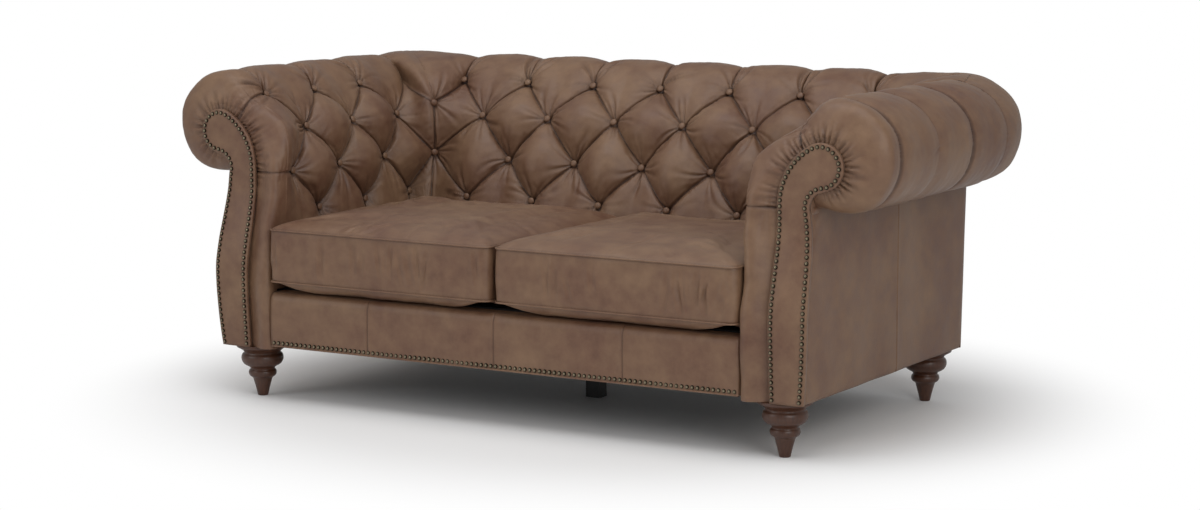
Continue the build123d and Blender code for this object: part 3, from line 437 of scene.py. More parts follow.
def seam_line(a, b, flat):
    """Four control points of the line from spot a to spot b."""
    run = b["at"] - a["at"]

    def handle(out):
        along = run - out * (run @ out)
        lean = np.linalg.norm(along) / np.linalg.norm(run)
        return along * min(2 / (lean * (1 + lean)), 1.7) / 3

    rise = [0.0, 0.0]
    if not a["high"] and not b["high"]:
        rise = [0.0, 0.0] if flat else [PLEAT_RISE, PLEAT_RISE]
    elif not a["high"]:
        rise[0] = RIDGE_RISE * b["high"]
    elif not b["high"]:
        rise[1] = RIDGE_RISE * a["high"]
    return [a["at"], a["at"] + handle(a["out"]) + a["out"] * rise[0],
            b["at"] - handle(b["out"]) + b["out"] * rise[1], b["at"]]


def weights(t):
    """Bernstein weights of a cubic."""
    return np.column_stack([(1 - t) ** 3, 3 * t * (1 - t) ** 2, 3 * t * t * (1 - t), t ** 3])


def control_net(corners, edges, swell, ridge):
    """Control points of one pillow of leather between four spots."""
    a, b, c, d = corners
    net = np.zeros((4, 4, 3))
    net[:, 0], net[3, :], net[:, 3], net[0, :] = edges

    def between(key, u, v):
        return (a[key] * (1 - u) + b[key] * u) * (1 - v) + (d[key] * (1 - u) + c[key] * u) * v

    for i in (1, 2):
        for j in (1, 2):
            u, v = i / 3, j / 3
            ruled = net[i, 0] * (1 - v) + net[i, 3] * v + net[0, j] * (1 - u) + net[3, j] * u
            net[i, j] = ruled - between("at", u, v) + unit(between("out", u, v)) * swell
    if ridge:
        for i in (1, 2):
            out = unit(d["out"] * (3 - i) + c["out"] * i)
            net[i, 2] -= out * ((net[i, 2] - net[i, 3]) @ out)
    return net


# A patch: its four spots, its swell, whether its last side is a ridge and whether its pleats lie flat.
def pillow(a, b, c, d, full=1.0):
    return ((a, b, c, d), ((TUFT - 0.375 * PLEAT_RISE) / 0.5625 - PLEAT_RISE) * full, False, False)


def half_pillow(a, b, c, d):
    return ((a, b, c, d), HALF_FULL * TUFT, True, False)


def flute(a, b, c, d):
    return ((a, b, c, d), 0.0, True, True)


def row_out(rows, name, foot):
    """Way out of the padding at a row of buttons."""
    order = ["foot", "d", "c", "b", "a"]
    places = dict(rows, foot=foot)
    if name == "a":
        return unit(np.array(places["a"]))
    k = order.index(name)
    low, high = places[order[max(k - 1, 0)]], places[order[k + 1]]
    run = np.array(high) - np.array(low)
    return np.array([run[1], -run[0]]) / np.linalg.norm(run)


def arm_spot(back, up, along, out, high=0.0, sharp=1.0):
    """A spot of the arm: back and up from the roll's centre, along from the facing."""
    out = np.array([-out[0], 0, out[1]])
    return spot(np.array([ROLL_X - back, FACING_Y + along, ROLL_Z + up]) + out * high, out, high, sharp=sharp)


def back_spot(back, up, across_x, out, high=0.0):
    """A spot of the back: back and up from the roll's centre, across from the sofa's middle."""
    out = np.array([0, -out[0], out[1]])
    return spot(np.array([across_x, BACK_Y - back, ROLL_Z + up]) + out * high, out, high)


def on_roll(angle, filled=0.0):
    """A place on the roll, from its centre, and the way out there."""
    turn = math.radians(angle)
    out = np.array([-math.cos(turn), math.sin(turn)])
    return (ROLL_R + filled) * out[0], (ROLL_R + filled) * out[1], out


def corner_pleat(shift):
    """Spots of the pleat up the inside corner and over the roll's corner."""
    seat = np.array([-DIAGONAL, -DIAGONAL, 0])
    aside = np.array([DIAGONAL, -DIAGONAL, 0]) * shift
    made = {"foot": spot(np.array([ROLL_X - CORNER_ARM, BACK_Y - CORNER_FOOT, DECK]) + aside, seat)}
    for name, up in CORNER_Z.items():
        made[name] = spot(np.array([ROLL_X - CORNER_ARM, BACK_Y - CORNER_BACK, ROLL_Z + up]) + aside, seat)
    middle = np.array([ROLL_X - CORNER_R, BACK_Y - CORNER_R, ROLL_Z]) - seat * CORNER_R
    for k, angle in enumerate(CORNER_TURNS):
        turn = math.radians(angle)
        out = np.array([math.cos(turn) * DIAGONAL, math.cos(turn) * DIAGONAL, math.sin(turn)])
        made[k] = spot(middle + out * (ROLL_R + FLUTE * FADE[k]) + aside, out, FLUTE * FADE[k])
    return made


def roll_patches(row, ring, i):
    """Patches over the roll above the button of row b in column i."""
    crest = ring(0, i)
    made = [half_pillow(row("a", i - 1), ring(0, i - 1), crest, row("b", i)),
            half_pillow(ring(0, i + 1), row("a", i + 1), row("b", i), crest)]
    for k in range(3):
        made.append(flute(ring(k, i - 1), ring(k + 1, i - 1), ring(k + 1, i), ring(k, i)))
        made.append(flute(ring(k + 1, i + 1), ring(k, i + 1), ring(k, i), ring(k + 1, i)))
    return made


def corner_patches(row, ring, corner, end, inward):
    """Patches between the last buttons and the corner pleat."""
    made = [pillow(row("foot", inward), corner["foot"], corner["c"], row("d", inward), CORNER_FULL),
            pillow(row("b", inward), corner["c"], corner["b"], row("a", end), CORNER_FULL),
            half_pillow(row("a", end), ring(0, end), corner[0], corner["b"])]
    return made + [flute(ring(k, end), ring(k + 1, end), corner[k + 1], corner[k]) for k in range(3)]


def arm_skin():
    """Pillows, buttons and border of the right arm."""
    step = (ROLL_SETBACK - ARM_LAST_GAP - ARM_FIRST) / (2 * BAYS)
    along = [ARM_FIRST + step * i for i in range(2 * BAYS + 1)]
    foot = (ARM_ROWS["d"][0], DECK - ROLL_Z)
    last = 2 * BAYS

    def row(name, i, high=0.0):
        back, up = dict(ARM_ROWS, foot=foot)[name]
        return arm_spot(back, up, along[i], row_out(ARM_ROWS, name, foot), high)

    def ring(k, i):
        if i % 2:
            back, up, out = on_roll(ARM_TURNS[k])
            return arm_spot(back, up, along[i], out, FLUTE * FADE[k])
        back, up, out = on_roll(ARM_TURNS[k], PLEAT_FILL[k])
        return arm_spot(back, up, along[i], out, 0.0, PLEAT_SHARP[i][k])

    nose, brow, edge = {}, {}, {}
    inner, head = FACING_IN + LAP, HEAD_R - LAP

    def tucked(x, z, pleat=False):
        return spot((x, FACING_Y + ogee(z) + TUCK, z), (0, -1, 0), EDGE_PAD, pleat)

    for name, z in (("base", FOOT_HEIGHT + 0.3), ("foot", DECK), ("c", NOSE_C_Z)):
        pleat = name == "c"
        x = HALF_WIDTH + (NOSE_C_IN if pleat else 0.0)
        nose[name] = spot((x, FACING_Y + NOSE_DEPTHS[name], z), (-1, 0, 0), NOSE_PLEAT, pleat, 0.7)
        edge[name] = tucked(inner, z, pleat)
        brow_at = (x + BROW_IN, FACING_Y + ogee(z) - BROW_PROUD, z)
        brow[name] = spot(brow_at, (-0.5, -0.866, 0), NOSE_PLEAT, pleat, 0.6)
    for name, angle in NOSE_TURNS.items():
        turn = math.radians(angle)
        out = (math.cos(turn), math.sin(turn))
        reach = NOSE_R - NOSE_PLEAT
        back, up = NOSE_BACK + reach * out[0], NOSE_DROP + reach * out[1]
        nose[name] = arm_spot(back, up, NOSE_DEPTHS[name], out, NOSE_PLEAT)
        round_head = math.pi - turn
        edge[name] = tucked(max(inner, HEAD_X + NOSE_LEAD * head * math.cos(round_head)),
                            HEAD_Z + head * math.sin(round_head), name == "a")
    nose["a"] = arm_spot(*NOSE_A, NOSE_DEPTHS["a"], row_out(ARM_ROWS, "a", foot))
    for k, angle in enumerate(ARM_TURNS):
        back, up, out = on_roll(angle)
        nose[k] = arm_spot(back, up, NOSE_DEPTH, out, FLUTE * FADE[k])
        turn = math.radians(angle)
        edge[k] = tucked(HEAD_X + head * math.cos(turn), HEAD_Z + head * math.sin(turn))
    corner = corner_pleat(CORNER_OPEN)
    skin = []
    buttons = [row(name, i) for name in "ac" for i in range(0, last, 2)]
    buttons += [row(name, i) for name in "bd" for i in range(1, last, 2)]
    for i in range(1, last, 2):
        rear_c = corner["c"] if i + 1 == last else row("c", i + 1)
        skin.append(pillow(row("d", i), rear_c, row("b", i), row("c", i - 1)))
        if i + 1 < last:
            skin.append(pillow(row("c", i + 1), row("b", i + 2), row("a", i + 1), row("b", i)))
            skin.append(half_pillow(row("d", i), row("foot", i), row("foot", i + 1, TUFT), row("c", i + 1)))
        roll = roll_patches(row, ring, i)
        skin += roll[:2]
        skin.append(half_pillow(row("foot", i), row("d", i), row("c", i - 1), row("foot", i - 1, TUFT)))
        skin += roll[2:]
    in_corner = corner_patches(row, ring, corner, last, last - 1)
    skin += in_corner[:3]
    for k in range(3):
        skin.append(in_corner[3 + k])
        skin.append(flute(ring(k + 1, 0), ring(k, 0), nose[k], nose[k + 1]))
    skin.append(half_pillow(nose["c"], row("c", 0), row("foot", 0, TUFT), nose["foot"]))
    skin.append(half_pillow(row("c", 0), nose["c"], nose["b"], row("b", 1)))
    skin.append(half_pillow(nose["a"], row("a", 0), row("b", 1), nose["b"]))
    skin.append(half_pillow(ring(0, 0), row("a", 0), nose["a"], nose[0]))
    order = ["base", "foot", "c", "b", "a", 0, 1, 2, 3]
    for name in order[3:]:
        line = np.array(seam_line(edge[name], nose[name], True))
        ahead = line[3] + line[2] - line[1] - line[0]
        out = edge[name]["out"] + nose[name]["out"]
        out = out - ahead * (out @ ahead) / (ahead @ ahead)
        brow[name] = spot(weights(np.array([0.5]))[0] @ line, unit(out), EDGE_PAD, name == "a")
    for low, high in zip(order, order[1:]):
        skin.append(((edge[low], edge[high], brow[high], brow[low]), 0.0, False, True))
        skin.append(((brow[low], brow[high], nose[high], nose[low]), 0.0, False, True))
    return skin, buttons


def back_skin():
    """Pillows and buttons of the back, from corner to corner."""
    step = (ROLL_X - BACK_END_GAP) / (2 * BAYS)
    xs = [step * (i - 2 * BAYS) for i in range(4 * BAYS + 1)]
    foot = (BACK_ROWS["d"][0], DECK - ROLL_Z)
    last = 4 * BAYS

    def row(name, i, high=0.0):
        back, up = dict(BACK_ROWS, foot=foot)[name]
        return back_spot(back, up, xs[i], row_out(BACK_ROWS, name, foot), high)

    def ring(k, i):
        back, up, out = on_roll(BACK_TURNS[k])
        return back_spot(back, up, xs[i], out, FLUTE * FADE[k] * (i % 2))

    right = corner_pleat(-CORNER_OPEN)
    flip = np.array([-1, 1, 1])
    left = {n: dict(s, at=s["at"] * flip, out=s["out"] * flip) for n, s in right.items()}
    skin = []
    buttons = [row("a", i) for i in range(0, last + 1, 2)] + [row("c", i) for i in range(2, last, 2)]
    buttons += [row(name, i) for name in "bd" for i in range(1, last, 2)]
    buttons += [side[name] for side in (left, right) for name in "bc"]
    for i in range(1, last, 2):
        fore = left["c"] if i == 1 else row("c", i - 1)
        rear = right["c"] if i + 1 == last else row("c", i + 1)
        skin.append(pillow(row("d", i), rear, row("b", i), fore))
        if i + 1 < last:
            skirt = row("foot", i + 1, TUFT)
            skin.append(pillow(row("c", i + 1), row("b", i + 2), row("a", i + 1), row("b", i)))
            skin.append(half_pillow(row("d", i), row("foot", i), skirt, row("c", i + 1)))
            skin.append(half_pillow(row("foot", i + 2), row("d", i + 2), row("c", i + 1), skirt))
        skin += roll_patches(row, ring, i)
    skin += corner_patches(row, ring, left, 0, 1) + corner_patches(row, ring, right, last, last - 1)
    return skin, buttons


NECK, BELLY_SET, FOOT_SET = ROLL_X - 45.0, ROLL_X - 30.0, ROLL_X - 40.0
NECK_Z, BELLY_Z, STRAIGHT_Z, THROAT = 545.0, 285.0, 560.0, math.radians(-80)


def facing_edges(inset):
    """Outline of the scroll facing drawn in by inset: up the seat side, round the head and down outside."""
    inner, head = FACING_IN + inset, HEAD_R - inset
    neck, bottom = NECK - inset, FOOT_HEIGHT + inset
    sweep = ((inner - HEAD_X) ** 2 + (STRAIGHT_Z - HEAD_Z) ** 2 - head ** 2) / (2 * (HEAD_X - inner - head))
    bend_x = inner + sweep
    lean = math.atan2(HEAD_Z - STRAIGHT_Z, HEAD_X - bend_x)

    def arc(x, z, radius, start, end, steps):
        return [(x + radius * math.cos(a), z + radius * math.sin(a)) for a in np.linspace(start, end, steps)]

    def three_point(p, q, r, steps):
        """Points on the arc from p through q to r."""
        (ax, ay), (bx, by), (cx, cy) = p, q, r
        d = 2 * (ax * (by - cy) + bx * (cy - ay) + cx * (ay - by))
        sq = [x * x + y * y for x, y in (p, q, r)]
        ux = (sq[0] * (by - cy) + sq[1] * (cy - ay) + sq[2] * (ay - by)) / d
        uy = (sq[0] * (cx - bx) + sq[1] * (ax - cx) + sq[2] * (bx - ax)) / d
        radius = math.hypot(ax - ux, ay - uy)
        angles = np.unwrap([math.atan2(y - uy, x - ux) for x, y in (p, q, r)])
        return arc(ux, uy, radius, angles[0], angles[2], steps)

    seat_side = [(inner, z) for z in np.linspace(bottom, STRAIGHT_Z, 60)]
    seat_side += arc(bend_x, STRAIGHT_Z, sweep, math.pi, lean, 30)[1:]
    top = arc(HEAD_X, HEAD_Z, head, lean, THROAT, 70)[1:]
    under, neck_end = top[-1], (neck, NECK_Z)
    throat = (neck + (under[0] - neck) / 4, (NECK_Z + 3 * under[1]) / 4)
    outside = three_point(under, throat, neck_end, 16)[1:]
    outside += three_point(neck_end, (BELLY_SET - inset, BELLY_Z), (FOOT_SET - inset, bottom), 60)[1:]
    return np.array(seat_side), np.array(top), np.array(outside)


SOLVER_ROUNDS = 70


def settle(points, faces, ease, reach):
    """Evens stretched leather out over about reach where ease is 1, and not at all where it is 0."""
    crossed = np.cross(points[faces[:, 2]] - points[faces[:, 0]], points[faces[:, 3]] - points[faces[:, 1]])
    square = np.linalg.norm(crossed, axis=1) / 2
    mass = np.bincount(faces.ravel(), np.repeat(square / 4, 4), len(points)) + 1e-6
    a, b = np.concatenate([faces, np.roll(faces, -1, 1)], 0).reshape(2, -1)
    span = np.maximum(np.linalg.norm(points[a] - points[b], axis=1), 0.3)
    pull = reach ** 2 / 2 * np.repeat(square / 2, 4) / span ** 2 * np.minimum(ease[a], ease[b])
    own = mass + np.bincount(a, pull, len(points)) + np.bincount(b, pull, len(points))

    def drawn(v):
        strain = (v[a] - v[b]) * pull
        return mass * v + np.bincount(a, strain, len(v)) - np.bincount(b, strain, len(v))

    made = points.copy()
    for axis in range(3):
        value = points[:, axis].copy()
        left = mass * points[:, axis] - drawn(value)
        ready = left / own
        search = ready.copy()
        size = left @ ready
        for _ in range(SOLVER_ROUNDS):
            if size < 1e-9:
                break
            pushed = drawn(search)
            step = size / (search @ pushed)
            value += step * search
            left -= step * pushed
            ready = left / own
            size, before = left @ ready, size
            search = ready + size / before * search
        made[:, axis] = value
    return made


def seeker(points):
    """Finds the nearest of some points."""
    made = kdtree.KDTree(len(points))
    for k, p in enumerate(points):
        made.insert(p, k)
    made.balance()
    return made


def beside(points, line):
    """How far points lie from a line drawn on the arm front, and the nearest place on it."""
    finder = seeker(np.insert(line, 1, 0, axis=1))
    found = [finder.find(p) for p in points * (1, 0, 1)]
    return np.array([f[2] for f in found]), np.array([f[1] for f in found])


def lengths(path):
    """Length along a path up to each of its points."""
    return np.concatenate([[0], np.cumsum(np.linalg.norm(np.diff(path, axis=0), axis=1))])


def sew(skin):
    """Points and faces of the patches, joined along their edges, and the pleats with their end spots."""
    t = (1 - np.cos(np.linspace(0, np.pi, PATCH_STEPS + 1))) / 2
    basis = weights(0.65 * t + 0.35 * np.linspace(0, 1, PATCH_STEPS + 1))     # closer points along the pleats
    fine = weights(np.linspace(0, 1, PLEAT_POINTS))
    side = PATCH_STEPS + 1
    grid = np.array(grid_faces(side, side))
    chunks, faces, pleats = [], [], {}
    for corners, swell, ridge, flat in skin:
        edges = [seam_line(corners[m], corners[n], flat) for m, n in PATCH_SIDES]
        net = control_net(corners, edges, swell, ridge)
        quads = grid + side * side * len(chunks)
        chunks.append(np.einsum("ui,vj,ijk->uvk", basis, basis, net).reshape(-1, 3))
        normal = np.cross(net[3, 0] - net[0, 0], net[0, 3] - net[0, 0])
        faces.append(quads if normal @ sum(c["out"] for c in corners) < 0 else quads[:, ::-1])
        for (m, n), line in zip(PATCH_SIDES, edges):
            if corners[m]["pleat"] and corners[n]["pleat"]:
                key = tuple(np.round((corners[m]["at"] + corners[n]["at"]) * 10).astype(int))
                pleats[key] = (fine @ np.array(line), corners[m], corners[n], flat)
    points, faces = np.concatenate(chunks), np.concatenate(faces)
    keys = np.round(points * 20).astype(np.int64)
    _, first, index = np.unique(keys, axis=0, return_index=True, return_inverse=True)
    faces = index.ravel()[faces]
    return points[first], faces[np.array([len(set(f)) > 2 for f in faces.tolist()])], list(pleats.values())


def ease(t):
    """From 0 to 1, slow at both ends."""
    return t * t * (3 - 2 * t)


SETTLE_REACH = 18.0
BULGE, PUFF, SWING_OUT, SWING_DOWN = 17.0, 11.0, 9.0, 5.0    # fullness of the arm front


def fill_front(points, faces, firm, held):
    """Rounds the arm front and the roll's outside, and pads the front round the facing.

    firm is 1 on a sharp pleat; held marks the cover's edges. Each effect comes in between two heights z,
    two depths y behind the facing or two distances from its tacked line."""
    x, y, z = points[:, 0] - ROLL_X, points[:, 1] - FACING_Y, points[:, 2]
    turn = ramp(z, 400, 470) * ramp(y, 4, 24) * ramp(y, 125, 85)
    outer = ramp(x, -30, 20) * ramp(y, 40, 80) * (1 - firm)
    clear = np.full(len(points), 60.0)
    clear[y < 130] = beside(points[y < 130], np.concatenate(facing_edges(LAP)))[0]
    points = settle(points, faces, np.maximum(turn, outer) * ramp(clear, 5, 13) * ~held, SETTLE_REACH)
    clear = ease(ramp(clear, 5, 29))
    bulge = ease(ramp(z, 390, 500)) * ease(ramp(z, 775, 585)) * ramp(y, 110, 50) * clear
    points[:, 0] -= BULGE * bulge * ramp(points[:, 0], ROLL_X - 60, ROLL_X - 165)
    points[:, 1] -= PUFF * ramp(z, 390, 480) * np.exp(-(y / 34.0) ** 2) * clear
    swing = ramp(y, 115, 45) * clear
    points[:, 0] += SWING_OUT * swing * ramp(x, -20, 70)
    points[:, 2] -= SWING_DOWN * swing * ramp(z, ROLL_Z + 20, ROLL_Z + 90)
    return points


GATHER_STEP = 0.3                           # fine enough to follow the narrowest gather
GATHER_FADE = (60.0, 26.0)                  # gathers die out this far from the facing's edge
GATHER_DEEP = 150.0                         # and this far behind its face


def gather(points, draw):
    """How deep the gathers round the facing pull the leather in at points near the front."""
    seat_side, top, outside = facing_edges(2.0)
    outline = np.concatenate([seat_side[40:], top, outside[:4]])
    step = lengths(outline)
    even = np.arange(0, step[-1], GATHER_STEP)
    off, nearest = beside(points, np.column_stack([np.interp(even, step, outline[:, k]) for k in range(2)]))
    where_on, end = even[nearest], even[-1]
    pull = np.zeros(len(points))
    at = 6.0
    while at < end:
        width = draw.uniform(2.0, 3.0)
        depth = draw.uniform(2.0, 5.2) * ramp(at, 70, 180) * ramp(at, end, end - 40)
        length = draw.uniform(34, 88)
        lean = draw.uniform(-0.12, 0.12)
        band = (where_on - at - lean * off) / (width * (1 + off / 60.0))
        pull -= depth * crimp(band) * np.exp(-(off / length) ** 2)
        at += draw.uniform(7.0, 11.0)
    return pull * ramp(points[:, 1] - FACING_Y, GATHER_DEEP, GATHER_DEEP - 50) * ramp(off, *GATHER_FADE)


SMOOTHINGS = 14                             # rounds that take the patches' joins out
FOLD_REACH, PLEAT_REACH = 110.0, 90.0       # a button's and a pleat's folds end within these distances
VALLEY, SINK, BUTTON_SINK = 3.6, 0.8, 3.0   # depth of a pleat's crease, of its sides and at a button
LAP_LIP, FILL = 2.0, 3.5                    # height of the overlapping lip and of the filling beside it
# Painted shade in folds and gathers for each mm of their depth, and the most they may add.
FOLD_SHADE, GATHER_SHADE, MOST_SHADE = 0.07, 0.09, 0.45     # darkening for each mm of depth


def upholster(skin, buttons, seed, gathered):
    """Points, faces and painted crease shade of a buttoned cover with its pleats, tension folds and gathers.
    """
    points, faces, pleats = sew(skin)
    share = np.linspace(0, 1, PLEAT_POINTS)[:, None]
    lines = np.concatenate([line for line, _, _, _ in pleats])
    runs = [np.gradient(line, axis=0) for line, _, _, _ in pleats]
    runs = np.concatenate([run / np.linalg.norm(run, axis=1)[:, None] for run in runs])
    outs = np.concatenate([m["out"] * (1 - share) + n["out"] * share for _, m, n, _ in pleats])
    keen = np.concatenate([(m["sharp"] * (1 - share) + n["sharp"] * share)[:, 0] for _, m, n, _ in pleats])
    laps = np.repeat([0.0 if flat else 1.0 for _, _, _, flat in pleats], PLEAT_POINTS)
    finder = seeker(lines)
    near = np.array([finder.find(p)[1] for p in points])
    keen, laps = keen[near], laps[near]
    away = points - lines[near]
    gap = np.linalg.norm(away, axis=1)
    upward = np.cross(outs[near], runs[near])
    upward *= np.where(upward[:, 2] + 0.3 * upward[:, 0] < 0, -1, 1)[:, None]
    over = np.clip((away * upward).sum(1) / np.maximum(gap, 1.0), -1, 1)

    count = len(points)
    links = np.sort(np.concatenate([faces[:, [k, (k + 1) % 4]] for k in range(4)]), axis=1)
    _, where, uses = np.unique(links[:, 0] * count + links[:, 1], return_index=True, return_counts=True)
    border = np.zeros(count, bool)
    border[links[where[uses == 1]].ravel()] = True
    soften = (0.5 * (1 - np.exp(-(gap / 7.0) ** 2)) * ~border)[:, None]
    a, b = links[where].T
    degree = np.maximum(np.bincount(a, minlength=count) + np.bincount(b, minlength=count), 1)[:, None]
    for _ in range(SMOOTHINGS):
        total = [np.bincount(a, axis[b], count) + np.bincount(b, axis[a], count) for axis in points.T]
        points = points + (np.column_stack(total) / degree - points) * soften
    if gathered:
        points = fill_front(points, faces, keen * np.exp(-(gap / 8.0) ** 2), border)

    normal = np.zeros_like(points)
    crossed = np.cross(points[faces[:, 2]] - points[faces[:, 0]], points[faces[:, 3]] - points[faces[:, 1]])
    for k in range(4):
        for axis in range(3):
            normal[:, axis] += np.bincount(faces[:, k], crossed[:, axis], count)
    normal /= np.maximum(np.linalg.norm(normal, axis=1), 1e-9)[:, None]

    draw = np.random.default_rng(seed)
    button_at = np.array([s["at"] for s in buttons])
    from_button = np.min(np.linalg.norm(points[:, None, :] - button_at[None], axis=2), axis=1)
    at_button = np.exp(-(from_button / 15.0) ** 2)
    rise = -(VALLEY * np.exp(-gap / 1.8) + SINK * np.exp(-gap / 7.0)) * keen - BUTTON_SINK * at_button
    rise += LAP_LIP * np.exp(-((gap - 4.5) / 3.4) ** 2) * np.clip(over, 0, 1) * (1 - at_button) * laps
    in_corner = np.hypot(np.abs(points[:, 0]) - ROLL_X + CORNER_ARM, points[:, 1] - BACK_Y + CORNER_BACK)
    plump = laps * (1 - np.exp(-(from_button / 34.0) ** 2)) * ramp(points[:, 2], ROLL_Z + 95, ROLL_Z + 65)
    plump *= 1 - np.exp(-(in_corner / 95.0) ** 2)
    rise += FILL * (1 - np.exp(-(gap / 9.0) ** 2)) * np.exp(-gap / 55.0) * plump
    fold_shade = np.zeros(count)
    for s in buttons:
        apart = points - s["at"]
        far = np.linalg.norm(apart, axis=1)
        close = far < FOLD_REACH
        east = unit(np.cross((0, 0, 1.0), s["out"]))
        north = np.cross(s["out"], east)
        angle, dist = np.arctan2(apart[close] @ north, apart[close] @ east), far[close]
        folds = int(draw.integers(9, 13))
        for k in range(folds):
            heading = 2 * np.pi * (k + draw.uniform(-0.4, 0.4)) / folds
            climbs = max(0.0, math.sin(heading)) if s["at"][2] > ROLL_Z + 50 else 0.3
            length = draw.uniform(30, 72) + 62 * climbs
            width = draw.uniform(0.07, 0.12)
            bend = draw.uniform(-0.006, 0.006)
            depth = draw.uniform(1.6, 5.0) * (0.85 + 0.9 * climbs)
            turn = np.angle(np.exp(1j * (angle - heading - bend * dist)))
            fade = ramp(dist, 7, 17) * ramp(dist, FOLD_REACH, FOLD_REACH - 40) * np.exp(-(dist / length) ** 2)
            fold = depth * crimp(turn / width) * fade * (1 - 0.7 * np.exp(-gap[close] / 3.0))
            rise[close] -= fold
            # Painted shade in the fold, by its depth.
            fold_shade[close] += FOLD_SHADE * np.maximum(fold, 0)
    middle = PLEAT_POINTS // 2
    for k, (line, _, _, _) in enumerate(pleats):
        close = np.linalg.norm(points - line[middle], axis=1) < PLEAT_REACH
        run, out = runs[PLEAT_POINTS * k + middle], outs[PLEAT_POINTS * k + middle]
        for _ in range(3):
            offset = points[close] - line[int(draw.integers(10, 50))]
            slant = draw.uniform(-0.5, 0.5)
            along, aside = offset @ run, offset @ np.cross(out, run)
            band = (along - slant * aside) / draw.uniform(2.6, 4.2)
            reach = draw.uniform(14, 34)
            rise[close] -= draw.uniform(0.3, 1.1) * crimp(band) * np.exp(-(aside / reach) ** 2)
    rise += 0.7 * ripple(points, 120.0, seed + 1) + 0.25 * ripple(points, 34.0, seed + 2)
    if gathered:
        front = points[:, 1] < FACING_Y + GATHER_DEEP
        pull = gather(points[front], draw)
        rise[front] += pull
        # Painted shade in the gathers, by their depth.
        fold_shade[front] += GATHER_SHADE * np.maximum(-pull, 0)
    points = points + normal * (rise * ~border)[:, None]
    # Painted shade: a dark line along each sharp pleat, more round the buttons, and a broad tint beside the
    # lapped pleats that is also the darker tone of drawn-in leather.
    line_width = np.where(laps > 0, 1.7, 3.0)
    crease_tone_and_shade = 0.75 * np.exp(-(gap / line_width) ** 2) * keen + 0.1 * np.exp(-gap / 11.0) * keen * laps
    crease_tone_and_shade += 0.3 * at_button
    return points, faces, np.clip(crease_tone_and_shade + np.minimum(fold_shade, MOST_SHADE), 0, 1)


def mark(piece, name, values):
    """Writes a value on each point of a piece, for its material to read."""
    written = piece.data.attributes.new(name, "FLOAT", "POINT")
    written.data.foreach_set("value", np.asarray(values, np.float32))


def cover_piece(name, points, faces, crease_tone_and_shade, nodes):
    """A buttoned cover in place of CAD nodes, with its painted crease shade written on its points."""
    made = add_piece(name, points, faces, leather)
    mark(made, "drawn_in_tone_and_shade", crease_tone_and_shade)
    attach(made, "frame")
    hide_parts(*nodes)


# Buttons: metal shells covered in the same leather, pulled down to the bottom of each tuft.
button_profile = [(0, 4.5), (5.5, 4.5), (7.2, 5.6), (8.2, 7.2), (8.5, 8.6), (8.3, 9.9), (7.4, 11.2),
                  (5.6, 12.3), (3.0, 12.9), (0, 13.1)]
button_head = lathe(button_profile, 20)


def studded(places, head):
    """Points and faces of many equal heads; each place is a point and the way its head faces."""
    head_points, head_faces = head
    points, faces = [], []
    for at, out in places:
        east = unit(np.cross((0, 0, 1.0), out))
        turn = np.column_stack([east, np.cross(out, east), out])
        faces += [tuple(len(points) * len(head_points) + k for k in f) for f in head_faces]
        points.append(head_points @ turn.T + at)
    return np.concatenate(points), faces


def button_piece(name, spots, way, nodes):
    """The buttons of one cover in place of CAD nodes."""
    points, faces = handed(*studded([(s["at"], s["out"]) for s in spots], button_head), way)
    made = add_piece(name, points, faces, leather)
    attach(made, "frame")
    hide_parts(*nodes)


skin, arm_buttons = arm_skin()
for (side, way), seed in zip(SIDES, (21, 22)):
    points, faces, crease_tone_and_shade = upholster(skin, arm_buttons, seed, True)
    points, faces = handed(points, faces, way)
    cover_piece(f"buttoned_arm_{side}", points, faces, crease_tone_and_shade, [f"{side}_arm_cover"])
    button_piece(f"covered_buttons_arm_{side}", arm_buttons, way, [f"{side}_arm_buttons"])
skin, back_buttons = back_skin()
points, faces, crease_tone_and_shade = upholster(skin, back_buttons, 23, False)
cover_piece("buttoned_back", points, faces, crease_tone_and_shade, ["back_cover"])
button_piece("covered_buttons_back", back_buttons, 1, ["back_buttons"])

# Scroll facings: shaped boards wrapped in leather over thin wadding, fixed on the arm fronts and trimmed
# along both long edges with close-set nails.
FACING_THICK, FACING_PUFF, ROUNDED = 10.0, 1.6, 5.0
FACING_LEVEL, FACING_HEAD = 600.0, 97.0      # the rows of points close up over the head
seat_side, top, outside = facing_edges(0.0)
right_edge = np.concatenate([top, outside])
crest = int(np.argmax(right_edge[:, 1]))
left_edge = np.concatenate([seat_side, right_edge[:crest + 1]])
right_edge = right_edge[crest:][::-1]
levels = FACING_LEVEL + FACING_HEAD * np.sin(np.linspace(0, np.pi / 2, 34))[1:] * 0.9995
levels = np.concatenate([np.linspace(FOOT_HEIGHT, FACING_LEVEL, 70), levels])
low_x = np.interp(levels, left_edge[:, 1], left_edge[:, 0])
high_x = np.interp(levels, right_edge[:, 1], right_edge[:, 0])
edge_profile = [(0.0, FACING_THICK), (0.0, 4.0), (0.35, 2.2), (1.2, 0.9), (2.6, 0.2), (ROUNDED, -0.2)]
spans = [0.08, 0.16, 0.26, 0.38, 0.5, 0.62, 0.74, 0.84, 0.92]
facing_points = []
for z, x0, x1 in zip(levels, low_x, high_x):
    width, face_y = x1 - x0, FACING_Y + ogee(z)
    room = min(1.0, width / 14.0)
    line = [(x0 + inset * room, face_y + deep) for inset, deep in edge_profile]
    for s in spans:
        puff = FACING_PUFF * math.sin(math.pi * s) ** 0.7
        line.append((x0 + ROUNDED * room + (width - 2 * ROUNDED * room) * s, face_y - 0.2 - puff))
    line += [(x1 - inset * room, face_y + deep) for inset, deep in reversed(edge_profile)]
    facing_points += [(x, y, z) for x, y in line]
facing_points = np.array(facing_points)
facing_points[:, 1] += 0.35 * ripple(facing_points, 90.0, 31)


